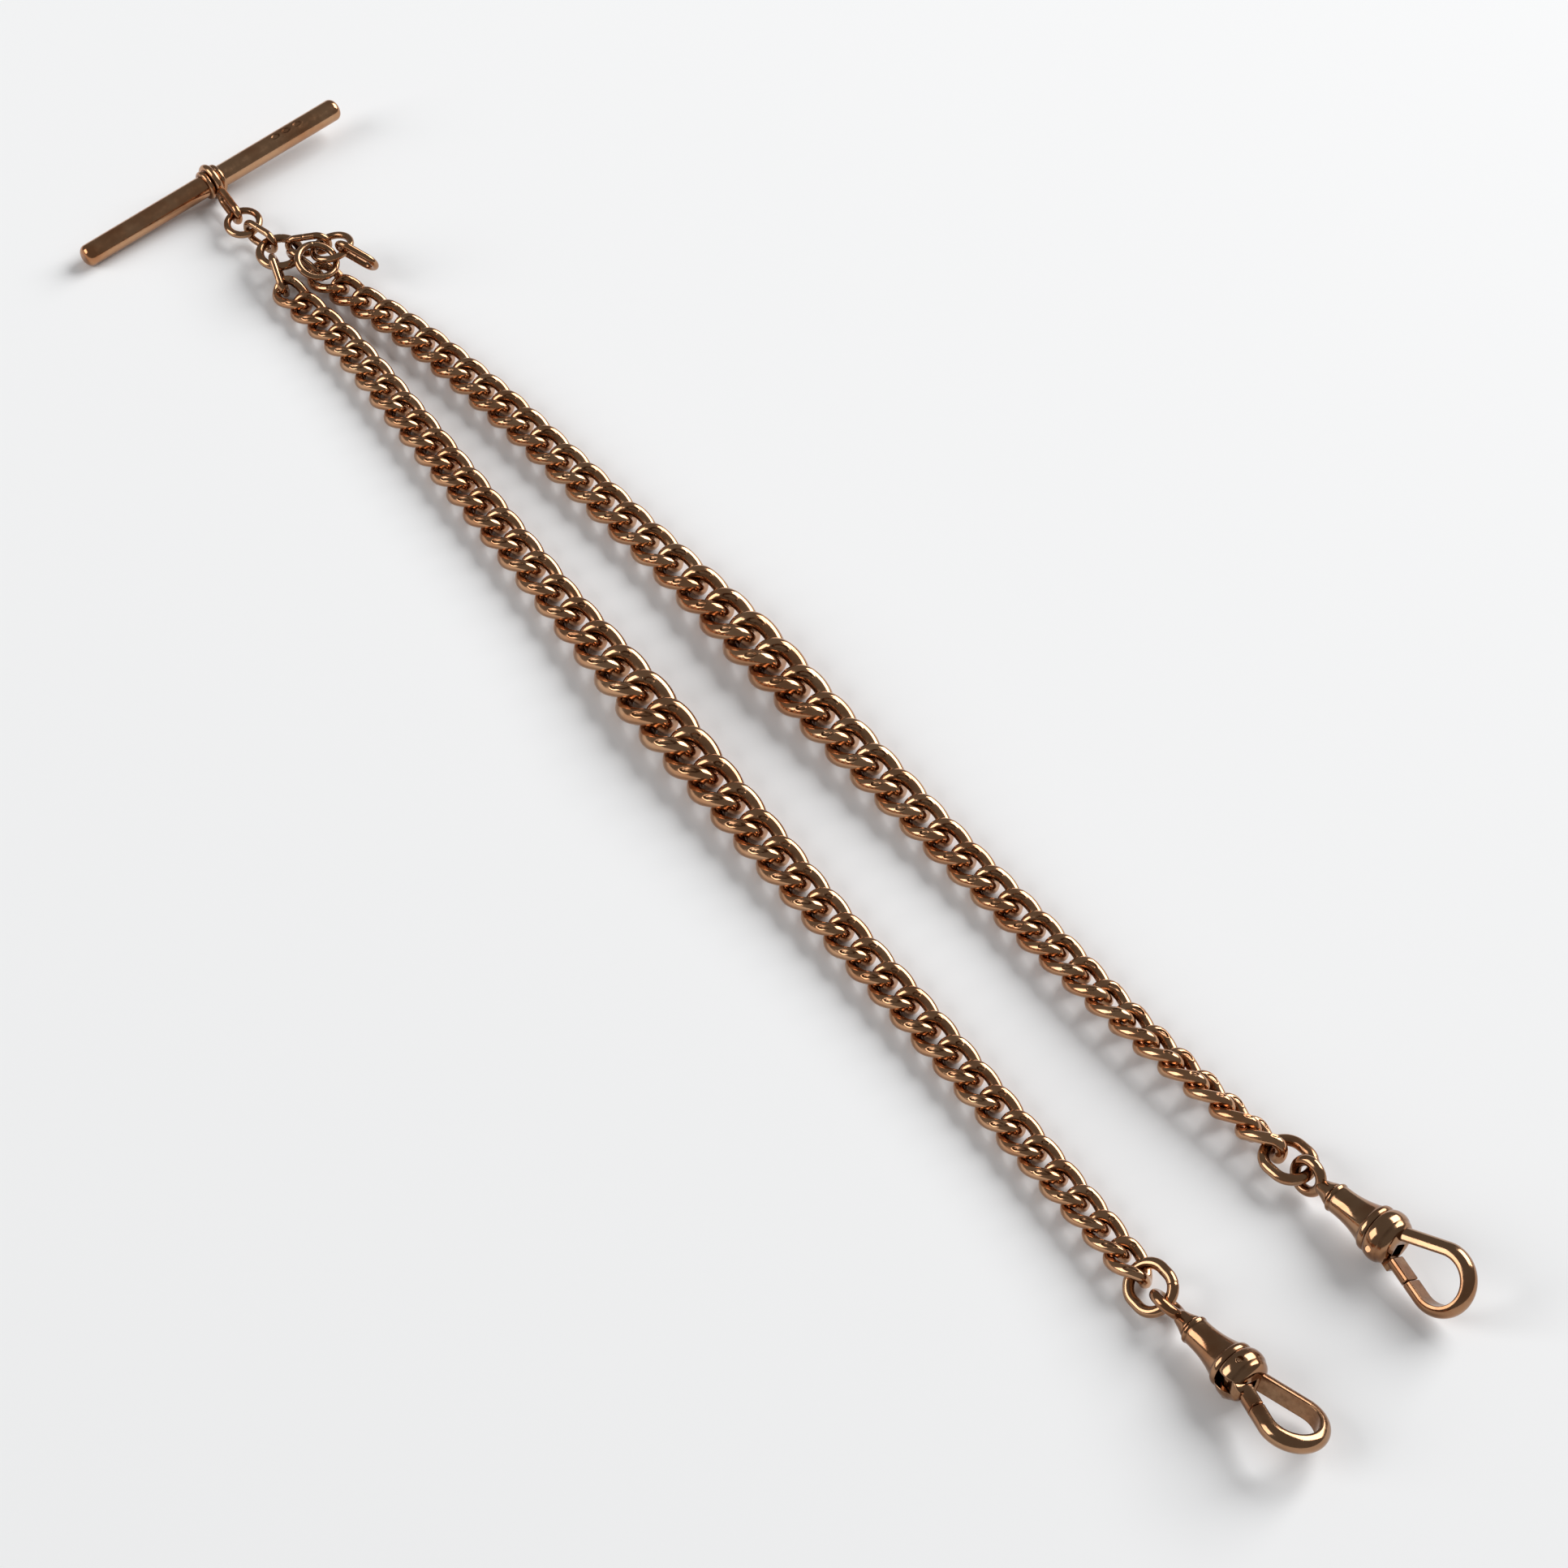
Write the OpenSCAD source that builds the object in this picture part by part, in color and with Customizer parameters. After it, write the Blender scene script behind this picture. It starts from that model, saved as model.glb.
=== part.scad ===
/* [T-bar] */
// Length of the T-bar over its domed ends
bar_length = 40; // [36:1:44]
// Diameter of the T-bar
bar_d = 2.9; // [2.7:0.1:3.1]
// Wire of the swivel ring that turns on the T-bar
swivel_wire = 0.95; // [0.85:0.05:1]
// Thickness of each soldered bead collar along the bar
collar_w = 0.75; // [0.6:0.05:0.8]
// Height that a bead collar stands above the bar
collar_rise = 0.5; // [0.4:0.05:0.6]
// Distance from the bar's axis to the far end of the swivel's eye
eye_reach = 8; // [7.8:0.1:8.2]
// Width of the swivel's eye over its wire
eye_width = 3; // [2.9:0.1:3.1]

/* [Rings] */
// Outer diameter of the jump ring below the T-bar
jump_d = 5; // [4.9:0.05:5.1]
// Wire of the jump ring
jump_wire = 0.9; // [0.8:0.05:0.95]
// Outer diameter of the centre ring that holds both arms and the drop
centre_d = 6.2; // [6.1:0.05:6.3]
// Wire of the centre ring
centre_wire = 1.1; // [1:0.05:1.1]
// Outer length of the oval connector links
oval_length = 6.2; // [6.1:0.05:6.3]
// Outer width of the oval connector links
oval_width = 3.6; // [3.5:0.05:3.6]
// Wire of the oval connector links
oval_wire = 0.9; // [0.85:0.05:0.9]
// Outer diameter of the two round rings in the drop
drop_d = 5.8; // [5.7:0.05:5.9]

/* [Curb chain] */
// Links in one rigid group of the curb chain
group_links = 3; // [3:1:3]
// Groups in one arm
arm_groups = 14; // [14:1:14]
// Links that the left arm has over and above the right one, in its last group
left_extra = 1; // [0:1:1]
// Pitch of the links beside the centre ring
pitch_first = 3.5; // [3.4:0.05:3.6]
// Pitch of the largest links
pitch_most = 5.05; // [5:0.05:5.1]
// Pitch of the links beside the clips
pitch_last = 3.85; // [3.8:0.05:3.9]
// Width of the links beside the centre ring
width_first = 4.45; // [4.4:0.05:4.5]
// Width of the largest links
width_most = 7.2; // [7.1:0.05:7.2]
// Width of the links beside the clips
width_last = 4.85; // [4.8:0.05:4.9]
// Wire of the links beside the centre ring
wire_first = 1.18; // [1.14:0.01:1.19]
// Wire of the largest links
wire_most = 2.02; // [1.98:0.01:2.03]
// Wire of the links beside the clips
wire_last = 1.36; // [1.32:0.01:1.37]
// Free play between two links that hang in each other
play = 0.18; // [0.17:0.01:0.2]

/* [Clips] */
// Outer length of the oval end link that holds a clip
end_length = 7; // [6.9:0.05:7.1]
// Outer width of the end link
end_width = 6; // [5.9:0.05:6.1]
// Wire of the end link
end_wire = 1.3; // [1.25:0.05:1.3]
// Outer diameter of the clip's swivel eye
clip_eye_d = 4.8; // [4.7:0.05:4.9]
// Wire of the clip's swivel eye
clip_eye_wire = 1.25; // [1.2:0.05:1.25]
// Length of the clip's barrel, from the neck to the end of its dome
barrel_length = 9.6; // [9.5:0.05:9.7]
// Diameter of the bead round the barrel's mouth
bead_d = 6.1; // [6:0.05:6.2]
// Inner radius of the hook's bend
hook_inner_r = 2.75; // [2.7:0.05:2.8]
// Thickness of the hook across its flat inner face
hook_thick = 1.4; // [1.35:0.05:1.45]
// Width of the hook band
hook_band = 2.2; // [2.1:0.05:2.3]

/* [Hidden] */
$fn = 48;
gold = [0.72, 0.45, 0.31];
gold_dark = [0.62, 0.38, 0.26];
gold_pale = [0.80, 0.56, 0.41];
fit_gap = 0.05;
hair = 1.02;

// Rings and links as they lie: the chain runs along +X, and the table is z = 0
bar_r = bar_d / 2;
swivel_r = bar_r + fit_gap + swivel_wire;
bar_centre = [-113.2, 0, swivel_r];
bar_heading = 94;
bar_tilt = asin((swivel_r - bar_r) / (bar_length / 2));
swivel_heading = -5;
swivel_dip = 2;
ring_play = 0.12;
oval_pitch = oval_length - 2 * oval_wire - ring_play;
slack_pitch = oval_pitch - 0.3;
arm_slack_pitch = oval_pitch - 0.5;
left_connector_roll = -72;
right_connector_roll = -68;

// The two arms: a heading for a few links, and a straight change between them
left_headings = [[0, 5], [2, 3], [5, -4], [10, -3.5], [15, -4], [20, -3], [25, -2.5], [30, -1], [35, -3],
    [39, -2], [42, -5]];
right_headings = [[0, 15.5], [2, 13.5], [5, 7], [10, 2.5], [15, 2.5], [20, -0.5], [25, 0.5], [30, 1],
    [34, 0.5], [38, 4.5], [41, 5.5]];
left_rolls = [[0, 0], [37, 0], [42, -18]];
right_rolls = [[0, 0], [31, 0], [41, -52]];
arm_links = group_links * arm_groups;
left_links = arm_links + left_extra;
largest_at = 0.48;
pitch_bell = 0.3;
// Part of the way from an end link's girth to the largest one's, for a few links
girth_steps = [[0, 0], [5, 0.2], [9, 0.35], [13, 0.4], [16, 0.45], [17, 0.55], [19, 0.85], [20, 1], [21, 0.95],
    [23, 0.7], [25, 0.55], [27, 0.35], [29, 0.25], [33, 0.2], [38, 0.1], [42, 0]];
shoulder_part = 0.8;
twist_part = 0.5;

// Height of the wire crossing at each end of an arm, above the table
arm_start_z = 1.6;
left_end_z = 2.1;
right_end_z = 2.5;

function lerp(a, b, f) = a + (b - a) * f;
function steps_at(list, x, i = 0) =
    x <= list[i + 1][0] || i + 2 == len(list)
        ? lerp(list[i][1], list[i + 1][1], (x - list[i][0]) / (list[i + 1][0] - list[i][0]))
        : steps_at(list, x, i + 1);
function unit(v) = v / norm(v);
function aim(heading, rise) = [cos(heading) * cos(rise), sin(heading) * cos(rise), sin(rise)];

// Graduation of the links: the pitch follows a bell that is 1 at the largest link and falls away to
// both ends, and the width and the wire follow the girth steps
function is_before(i) = i < largest_at * (arm_links - 1);
function bell(t) = 1 / (1 + pow(t / pitch_bell, 2));
function bell_at(i) =
    let (u = i / (arm_links - 1))
    bell(is_before(i) ? (largest_at - u) / largest_at : (u - largest_at) / (1 - largest_at));
function graded(i, first, most, last, part) = lerp(is_before(i) ? first : last, most, part);
function link_pitch(i) = graded(i, pitch_first, pitch_most, pitch_last, bell_at(i));
function link_width(i) = graded(i, width_first, width_most, width_last, steps_at(girth_steps, i));
function link_wire(i) = graded(i, wire_first, wire_most, wire_last, steps_at(girth_steps, i));

// Centre line of a curb link: a rail arc on each side and two arcs round each end, tangent where
// they meet. c, y1 and z1 are the shoulder, where the rail meets the end, and b is the half width
function rail_slope(c, z1) = atan2(z1, c);
function rail_radius(c, y1, z1, b) = (c * c + z1 * z1 + pow(b - y1, 2)) / (2 * (b - y1));
function rail_sweep(c, y1, z1, b) = asin(norm([c, z1]) / rail_radius(c, y1, z1, b));
function end_slope(c, y1, z1, b) =
    let (s = rail_sweep(c, y1, z1, b), q = rail_slope(c, z1))
    atan2(z1, y1) + asin((y1 * cos(s) * sin(q) + z1 * sin(s)) / norm([y1, z1]));
function half_length(c, y1, z1, b) =
    let (s = rail_sweep(c, y1, z1, b))
    c + y1 * cos(s) * cos(rail_slope(c, z1)) / (sin(s) + cos(end_slope(c, y1, z1, b)));

// The shoulder's place along the link that gives the wanted half length, found by halving
function shoulder(want, y1, z1, b, low, high, n = 30) =
    let (mid = (low + high) / 2)
    n == 0 ? mid
        : half_length(mid, y1, z1, b) < want ? shoulder(want, y1, z1, b, mid, high, n - 1)
        : shoulder(want, y1, z1, b, low, mid, n - 1);

// Half height of a link that lies on the table rolled by r
function rolled_height(i, r) =
    let (w = link_wire(i), b = (link_width(i) - w) / 2, y1 = shoulder_part * b, z1 = 1.13 * twist_part * w)
    max(abs(b * sin(r)), abs(y1 * sin(r)) + abs(z1 * cos(r))) + hair * w / 2 + 0.04;

// The crossings between links, walked from the first one at the start of an arm
function crossing_z(i, n, rolls, first_z, last_z) =
    i == 0 ? first_z
        : i == n ? last_z
        : max(rolled_height(i - 1, steps_at(rolls, i - 1)), rolled_height(i, steps_at(rolls, i)));
function arm_crossings(start, headings, rolls, last_z, n) =
    [for (i = 0, p = start; i <= n;
          p = p + link_pitch(i) * aim(steps_at(headings, i), 0), i = i + 1)
        [p[0], p[1], crossing_z(i, n, rolls, start[2], last_z)]];

// Frame with X along a to b, Y level to the left, turned by roll, and its origin midway
function between(a, b, roll = 0) =
    let (t = unit(b - a), n = unit([-t[1], t[0], 0]), u = cross(t, n))
    let (y = n * cos(roll) + u * sin(roll), z = cross(t, y), m = (a + b) / 2)
    [[t[0], y[0], z[0], m[0]], [t[1], y[1], z[1], m[1]], [t[2], y[2], z[2], m[2]], [0, 0, 0, 1]];

// Frame from an origin and two square directions
function framed(o, x, y) =
    let (z = cross(x, y))
    [[x[0], y[0], z[0], o[0]], [x[1], y[1], z[1], o[1]], [x[2], y[2], z[2], o[2]], [0, 0, 0, 1]];

// Crossings of the pieces between the T-bar and the arms
eye_inner = bar_centre + (eye_reach - swivel_wire - ring_play / 2) * aim(swivel_heading, -swivel_dip);
jump_pitch = jump_d - 2 * jump_wire - ring_play;
jump_end = eye_inner + jump_pitch * aim(-1, -1);
connector_end = jump_end + oval_pitch * aim(9, 6);
centre_r = (centre_d - centre_wire) / 2;
centre_hole = centre_r - centre_wire / 2 - ring_play / 2;
centre_at = connector_end + centre_hole * aim(0, 0);
left_hang = centre_at + centre_hole * aim(-52, 0);
left_start = left_hang + arm_slack_pitch * aim(-17, -asin((left_hang[2] - arm_start_z) / arm_slack_pitch));
right_hang = centre_at + centre_hole * aim(34, 0);
right_start = right_hang + arm_slack_pitch * aim(18, -asin((right_hang[2] - arm_start_z) / arm_slack_pitch));
drop_hang = centre_at + centre_hole * aim(84, 0);
drop_end = drop_hang + slack_pitch * aim(48, 16);

left_knots = arm_crossings(left_start, left_headings, left_rolls, left_end_z, left_links);
right_knots = arm_crossings(right_start, right_headings, right_rolls, right_end_z, arm_links);

// The drop's rings lie on the right arm, each through the one before
drop_ring_at = drop_end + [1.7, 0.2, 0.4];
drop_ring_turn = [-13, -10, 80];
fob_ring_at = drop_ring_at + [0.9, -2.8, -0.05];
fob_ring_turn = [18, 0, 107];
fob_link_at = drop_ring_at + [3.3, 1.6, 0.25];
fob_link_turn = [-69, 20, 31];

// Clips: end link, swivel eye, then the barrel's axis
end_pitch = end_length - 2 * end_wire - 0.6;
clip_eye_r = (clip_eye_d - clip_eye_wire) / 2;
clip_neck = 2;
left_end = left_knots[left_links] + end_pitch * aim(-3, 6);
right_end = right_knots[arm_links] + end_pitch * aim(4, 3);
left_end_roll = 36;
right_end_roll = 0;
left_eye_roll = 126;
right_eye_roll = 70;
left_clip_aim = aim(2, 2.8);
right_clip_aim = aim(6, 3.9);
left_clip_roll = -21;
right_clip_roll = 52;
eye_to_barrel = clip_eye_r + clip_neck;

// Barrel and loop, along the clip's own axis from the neck
bead_at = 7.6;
pin_at = [7.7, -1.35];
pin_r = 0.35;
loop_at = bead_at + 8;
loop_root = [8.6, 0.6];
root_reach = norm([loop_at - loop_root[0], loop_root[1]]);
leg_angle = asin(hook_inner_r / root_reach) - atan2(loop_root[1], loop_at - loop_root[0]);
leg_length = sqrt(pow(root_reach, 2) - pow(hook_inner_r, 2));
gate_end = 4.4;
gate_start = 1.3;
joint_slant = 24 - leg_angle;
joint_gap = 0.08;
knuckle_r = 0.9;
knuckle_w = 1.5;

function numbered(side, i) = str(side, "_links_", i < 10 ? "0" : "", i);
CLIP_PARTS = ["eye", "barrel", "hook", "gate", "gate_pin", "gate_spring"];

module round_ring(outer_d, wire) {
    rotate_extrude() translate([(outer_d - wire) / 2, 0]) circle(d = wire);
}

module oval_link(length, width, wire) {
    bend = (width - wire) / 2;
    straight = length - width;
    for (turn = [0, 180]) rotate(turn) {
        translate([straight / 2, 0, 0]) rotate_extrude(angle = 180, start = -90)
            translate([bend, 0]) circle(d = wire);
        translate([-straight / 2, bend, 0]) rotate([0, 90, 0]) cylinder(d = wire, h = straight);
    }
}

module wire_arc(radius, wire, sweep, start = 0) {
    rotate_extrude(angle = sweep, start = start) translate([radius, 0]) circle(d = wire);
}

// One curb link along X: the left rail has its back end raised. The rails and the balls at the two
// ends are a hair thicker than the end arcs, and swallow their ends, so that all is one solid
module curb_link(pitch, width, wire) {
    a = (pitch + wire + play) / 2;
    b = (width - wire) / 2;
    y1 = shoulder_part * b;
    z1 = -twist_part * wire;
    c = shoulder(a, y1, z1, b, 0.1 * a, 0.95 * a);
    rail_r = rail_radius(c, y1, z1, b);
    sweep = rail_sweep(c, y1, z1, b);
    slope = rail_slope(c, z1);
    along = [cos(slope), 0, sin(slope)];
    from = [c, y1, z1];
    going = cos(sweep) * along - [0, sin(sweep), 0];
    chord = [a, 0, 0] - from;
    half_turn = acos(unit(chord) * going);
    end_r = norm(chord) / (2 * sin(half_turn));
    inward = unit(chord - (chord * going) * going);
    end_trim = 0.05 * wire / end_r * 180 / PI;
    rail_half = sweep + 0.08 * wire / rail_r * 180 / PI;
    for (side = [0, 180]) rotate([side, 0, 0]) {
        multmatrix(framed([0, b - rail_r, 0], [0, 1, 0], along))
            wire_arc(rail_r, hair * wire, 2 * rail_half, -rail_half);
        for (end = [0, 180]) rotate([0, end, 0])
            multmatrix(framed(from + end_r * inward, -inward, going))
                wire_arc(end_r, wire, 2 * half_turn - end_trim);
    }
    for (end = [-1, 1]) translate([end * a, 0, 0]) sphere(d = hair * wire);
}

module t_bar() {
    color(gold)
    translate(bar_centre) rotate([0, -bar_tilt, bar_heading]) rotate([0, 90, 0])
    rotate_extrude() {
        dome = 0.9;
        half = bar_length / 2;
        polygon(concat(
            [[0, -half], [0, half]],
            [for (q = [90:-15:0]) [bar_r - dome + dome * cos(q), half - dome + dome * sin(q)]],
            [for (q = [0:-15:-90]) [bar_r - dome + dome * cos(q), -half + dome + dome * sin(q)]]
        ));
    }
}

module bar_collars() {
    color(gold_pale)
    translate(bar_centre) rotate([0, -bar_tilt, bar_heading]) rotate([0, 90, 0])
    for (side = [-1, 1])
        translate([0, 0, side * (swivel_wire / 2 + fit_gap + collar_w / 2)])
        rotate_extrude() intersection() {
            translate([bar_r + collar_rise - collar_w / 2, 0]) circle(d = collar_w);
            translate([bar_r, -collar_w]) square([collar_w, 2 * collar_w]);
        }
}

module bar_swivel() {
    color(gold)
    union() {
        translate(bar_centre) rotate([0, -bar_tilt, bar_heading]) rotate([0, 90, 0])
            round_ring(2 * swivel_r, swivel_wire);
        eye_start = swivel_r - swivel_wire / 2;
        eye_length = eye_reach - eye_start;
        translate(bar_centre) rotate([90, swivel_dip, swivel_heading])
            translate([eye_start + eye_length / 2, 0, 0])
            oval_link(eye_length, eye_width, swivel_wire);
    }
}

module jump_ring() {
    color(gold_pale)
    multmatrix(between(eye_inner, jump_end, 6)) round_ring(jump_d, jump_wire);
}

module connector(a, b, roll) {
    multmatrix(between(a, b, roll)) oval_link(oval_length, oval_width, oval_wire);
}

module top_connector() {
    color(gold) connector(jump_end, connector_end, 90);
}

module centre_ring() {
    color(gold_pale) translate(centre_at) round_ring(centre_d, centre_wire);
}

module left_connector() {
    color(gold) connector(left_hang, left_start, left_connector_roll);
}

module right_connector() {
    color(gold) connector(right_hang, right_start, right_connector_roll);
}

module drop_connector() {
    color(gold) connector(drop_hang, drop_end, 90);
}

module drop_ring() {
    color(gold_pale) translate(drop_ring_at) rotate(drop_ring_turn) round_ring(drop_d, oval_wire);
}

module fob_ring() {
    color(gold) translate(fob_ring_at) rotate(fob_ring_turn) round_ring(drop_d, oval_wire);
}

module fob_link() {
    color(gold_pale) translate(fob_link_at) rotate(fob_link_turn)
        oval_link(oval_length, oval_width, oval_wire);
}

module link_group(group, knots, rolls) {
    last = group == arm_groups ? len(knots) - 2 : group * group_links - 1;
    color(group % 2 == 0 ? gold : gold_dark)
    for (i = [(group - 1) * group_links : last])
        multmatrix(between(knots[i], knots[i + 1], steps_at(rolls, i)))
            curb_link(link_pitch(i), link_width(i), link_wire(i));
}

module end_link(a, b, roll) {
    color(gold_pale) multmatrix(between(a, b, roll)) oval_link(end_length, end_width, end_wire);
}

// The D-shaped section of the hook and gate, with its flat inner face at x = 0
module hook_section(grow = 0) {
    round_r = hook_band / 2;
    intersection() {
        translate([hook_thick - round_r, 0]) circle(r = round_r + grow);
        translate([-grow, -hook_band]) square([hook_thick + 2 * grow, 2 * hook_band]);
    }
}

// One straight leg of the loop on the hook's side, from s1 to s2 along it, a hair thicker than the bend
module leg(s1, s2) {
    translate(loop_root) rotate(leg_angle) translate([s1, 0, 0])
        rotate([90, 0, 90]) linear_extrude(s2 - s1) hook_section(0.02);
}

// Block with a face on the slanted joint between the gate's tip and the hook's end
module joint_block(from) {
    reach = 5;
    translate([loop_root[0], -loop_root[1], 0]) rotate(-leg_angle)
        translate([gate_end, 0, 0]) rotate(-joint_slant)
        translate([from, -reach / 2, -reach / 2]) cube(reach);
}

module clip_eye() {
    color(gold_pale)
    union() {
        translate([-eye_to_barrel, 0, 0]) round_ring(clip_eye_d, clip_eye_wire);
        rotate([0, 90, 0]) rotate_extrude() polygon([
            [0, -clip_neck - 0.2], [0.75, -clip_neck - 0.2], [1, -1.2], [1.4, -0.3], [1.4, 0],
            [0.7, 0], [0.7, 1.6], [1.05, 1.6], [1.05, 2.1], [0, 2.1]
        ]);
    }
}

module clip_barrel() {
    flare_from = 0.8;
    flare_to = 5.6;
    bead_r = bead_d / 2;
    color(gold)
    difference() {
        rotate([0, 90, 0]) rotate_extrude() polygon(concat(
            [[0, fit_gap], [1.5, fit_gap], [1.7, 0.2], [1.7, 0.5], [1.58, 0.6]],
            [for (f = [0:0.125:1]) [1.62 + 0.86 * pow(f, 2.2), lerp(flare_from, flare_to, f)]],
            [[2.66, 5.7], [2.74, 5.9], [2.74, 6.35], [2.66, 6.55], [2.56, 6.6]],
            [for (q = [-60:20:60]) [bead_r - 0.5 + 0.5 * cos(q), bead_at + 1.05 * sin(q)]],
            [for (q = [15:15:75]) [1.2 + 1.5 * cos(q), 8.55 + (barrel_length - 8.55) * sin(q)]],
            [[1.2, barrel_length], [0, barrel_length]]
        ));
        rotate([0, 90, 0]) cylinder(r = 0.7 + fit_gap, h = 2);
        translate([1.55, 0, 0]) rotate([0, 90, 0]) cylinder(r = 1.15, h = 1.4);
        translate([2.5, 0, 0]) rotate([0, 90, 0]) cylinder(r = 1.2, h = 4.3);
        slot_w = knuckle_w + 2 * fit_gap;
        translate([6.5, -bead_d, -slot_w / 2]) cube([4, bead_d + 0.3, slot_w]);
        translate([pin_at[0], pin_at[1], -bead_d]) cylinder(r = pin_r, h = 2 * bead_d);
        leg(0, leg_length);
    }
}

module clip_hook() {
    color(gold_pale)
    union() {
        leg(0, leg_length);
        translate([loop_at, 0, 0]) rotate_extrude(angle = 180 + 2 * leg_angle, start = -90 - leg_angle)
            translate([hook_inner_r, 0]) hook_section();
        difference() {
            mirror([0, 1, 0]) leg(gate_end - 1, leg_length);
            joint_block(joint_gap / 2 - 5);
        }
    }
}

module clip_gate() {
    color(gold_dark)
    difference() {
        union() {
            difference() {
                mirror([0, 1, 0]) leg(gate_start, gate_end + 1);
                joint_block(-joint_gap / 2);
            }
            translate([pin_at[0], pin_at[1], -knuckle_w / 2]) cylinder(r = knuckle_r, h = knuckle_w);
            translate([pin_at[0], pin_at[1], -knuckle_w / 2]) rotate(-leg_angle)
                translate([0, -0.75, 0]) cube([2.6, 1.3, knuckle_w]);
        }
        translate([pin_at[0], pin_at[1], -hook_band]) cylinder(r = pin_r + fit_gap, h = 2 * hook_band);
    }
}

module clip_gate_pin() {
    reach = sqrt(pow(bead_d / 2, 2) - pow(pin_at[1], 2)) - 0.1;
    color(gold_dark) translate([pin_at[0], pin_at[1], -reach]) cylinder(r = pin_r, h = 2 * reach);
}

module clip_gate_spring() {
    color([0.75, 0.75, 0.78]) translate([2.7, -1, -0.35]) cube([4, 0.22, 0.7]);
}

// Frames of the two clips: the eye hangs in the end link, and the barrel follows its own aim
function clip_origin(hang, dir) = hang + (clip_eye_r - clip_eye_wire / 2 - ring_play / 2 + eye_to_barrel) * dir;
function clip_frame(hang, dir, roll) = between(clip_origin(hang, dir) - dir, clip_origin(hang, dir) + dir, roll);
left_eye_frame = clip_frame(left_end, left_clip_aim, left_eye_roll);
right_eye_frame = clip_frame(right_end, right_clip_aim, right_eye_roll);
left_clip_frame = clip_frame(left_end, left_clip_aim, left_clip_roll);
right_clip_frame = clip_frame(right_end, right_clip_aim, right_clip_roll);

t_bar();
bar_collars();
bar_swivel();
jump_ring();
top_connector();
centre_ring();
left_connector();
right_connector();
drop_connector();
drop_ring();
fob_ring();
fob_link();
for (i = [1:arm_groups]) {
    link_group(i, left_knots, left_rolls);
    link_group(i, right_knots, right_rolls);
}
end_link(left_knots[left_links], left_end, left_end_roll);  // left_end_link
end_link(right_knots[arm_links], right_end, right_end_roll);  // right_end_link
multmatrix(left_eye_frame) clip_eye();  // left_clip_eye
multmatrix(left_clip_frame) clip_barrel();  // left_clip_barrel
multmatrix(left_clip_frame) clip_hook();  // left_clip_hook
multmatrix(left_clip_frame) clip_gate();  // left_clip_gate
multmatrix(left_clip_frame) clip_gate_pin();  // left_clip_gate_pin
multmatrix(left_clip_frame) clip_gate_spring();  // left_clip_gate_spring
multmatrix(right_eye_frame) clip_eye();  // right_clip_eye
multmatrix(right_clip_frame) clip_barrel();  // right_clip_barrel
multmatrix(right_clip_frame) clip_hook();  // right_clip_hook
multmatrix(right_clip_frame) clip_gate();  // right_clip_gate
multmatrix(right_clip_frame) clip_gate_pin();  // right_clip_gate_pin
multmatrix(right_clip_frame) clip_gate_spring();  // right_clip_gate_spring
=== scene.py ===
"""A double watch chain in rose gold: T-bar and swivel, ring cluster, two arms of curb links, two clips.

Every piece is a surface worked out with numpy in millimetres and written to its mesh in metres, in the
frame of the solids: +X runs from the T-bar to the clips, and the table is z = 0.
"""

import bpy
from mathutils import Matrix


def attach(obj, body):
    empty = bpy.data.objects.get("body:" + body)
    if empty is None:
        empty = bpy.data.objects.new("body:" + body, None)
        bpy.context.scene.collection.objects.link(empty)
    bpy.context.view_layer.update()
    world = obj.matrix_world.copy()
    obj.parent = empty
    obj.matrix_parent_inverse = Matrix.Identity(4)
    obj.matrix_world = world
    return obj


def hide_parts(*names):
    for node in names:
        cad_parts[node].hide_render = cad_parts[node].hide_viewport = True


bl_info = {
    "name": "Double Watch Chain",
    "version": (1, 0, 0),
    "blender": (4, 5, 0),
    "location": "View3D > Sidebar > Watch Chain",
    "description": "Builds a double watch chain of graduated curb links with its T-bar and swivel clips",
    "category": "Add Mesh",
}

import bmesh
import bpy
import numpy as np
from bpy.props import FloatProperty, FloatVectorProperty, IntProperty, PointerProperty
from bpy.types import Operator, Panel, PropertyGroup
from mathutils import Vector

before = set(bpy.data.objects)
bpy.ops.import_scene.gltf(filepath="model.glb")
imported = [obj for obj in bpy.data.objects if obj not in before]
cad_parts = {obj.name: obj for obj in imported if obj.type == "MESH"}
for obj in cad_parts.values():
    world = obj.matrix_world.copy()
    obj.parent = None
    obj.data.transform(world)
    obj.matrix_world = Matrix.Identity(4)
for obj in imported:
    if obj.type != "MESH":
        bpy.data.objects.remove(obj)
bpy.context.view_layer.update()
MM = 0.001
WELD = 1e-8

# How the pieces lie, as in the solids: angles in degrees, lengths in millimetres
FIT_GAP = 0.05
UPRIGHT = 90
MIRRORED = np.array((1.0, -1.0, 1.0))
NO_MOVE = (np.eye(3), np.zeros(3))

# The T-bar and its swivel
BAR_X = -113.2
BAR_HEADING = 94
BAR_DOME = 0.9
SWIVEL_HEADING = -5
SWIVEL_DIP = 2

# The rings at the top: an aim is a heading and a rise, a hang is a connector's place on the centre ring
RING_PLAY = 0.12
JUMP_AIM = (-1, -1)
JUMP_ROLL = 6
TOP_CONNECTOR_AIM = (9, 6)
ARM_SLACK = 0.5
LEFT_HANG = -52
LEFT_CONNECTOR_HEADING = -17
LEFT_CONNECTOR_ROLL = -72
RIGHT_HANG = 34
RIGHT_CONNECTOR_HEADING = 18
RIGHT_CONNECTOR_ROLL = -68

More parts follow.
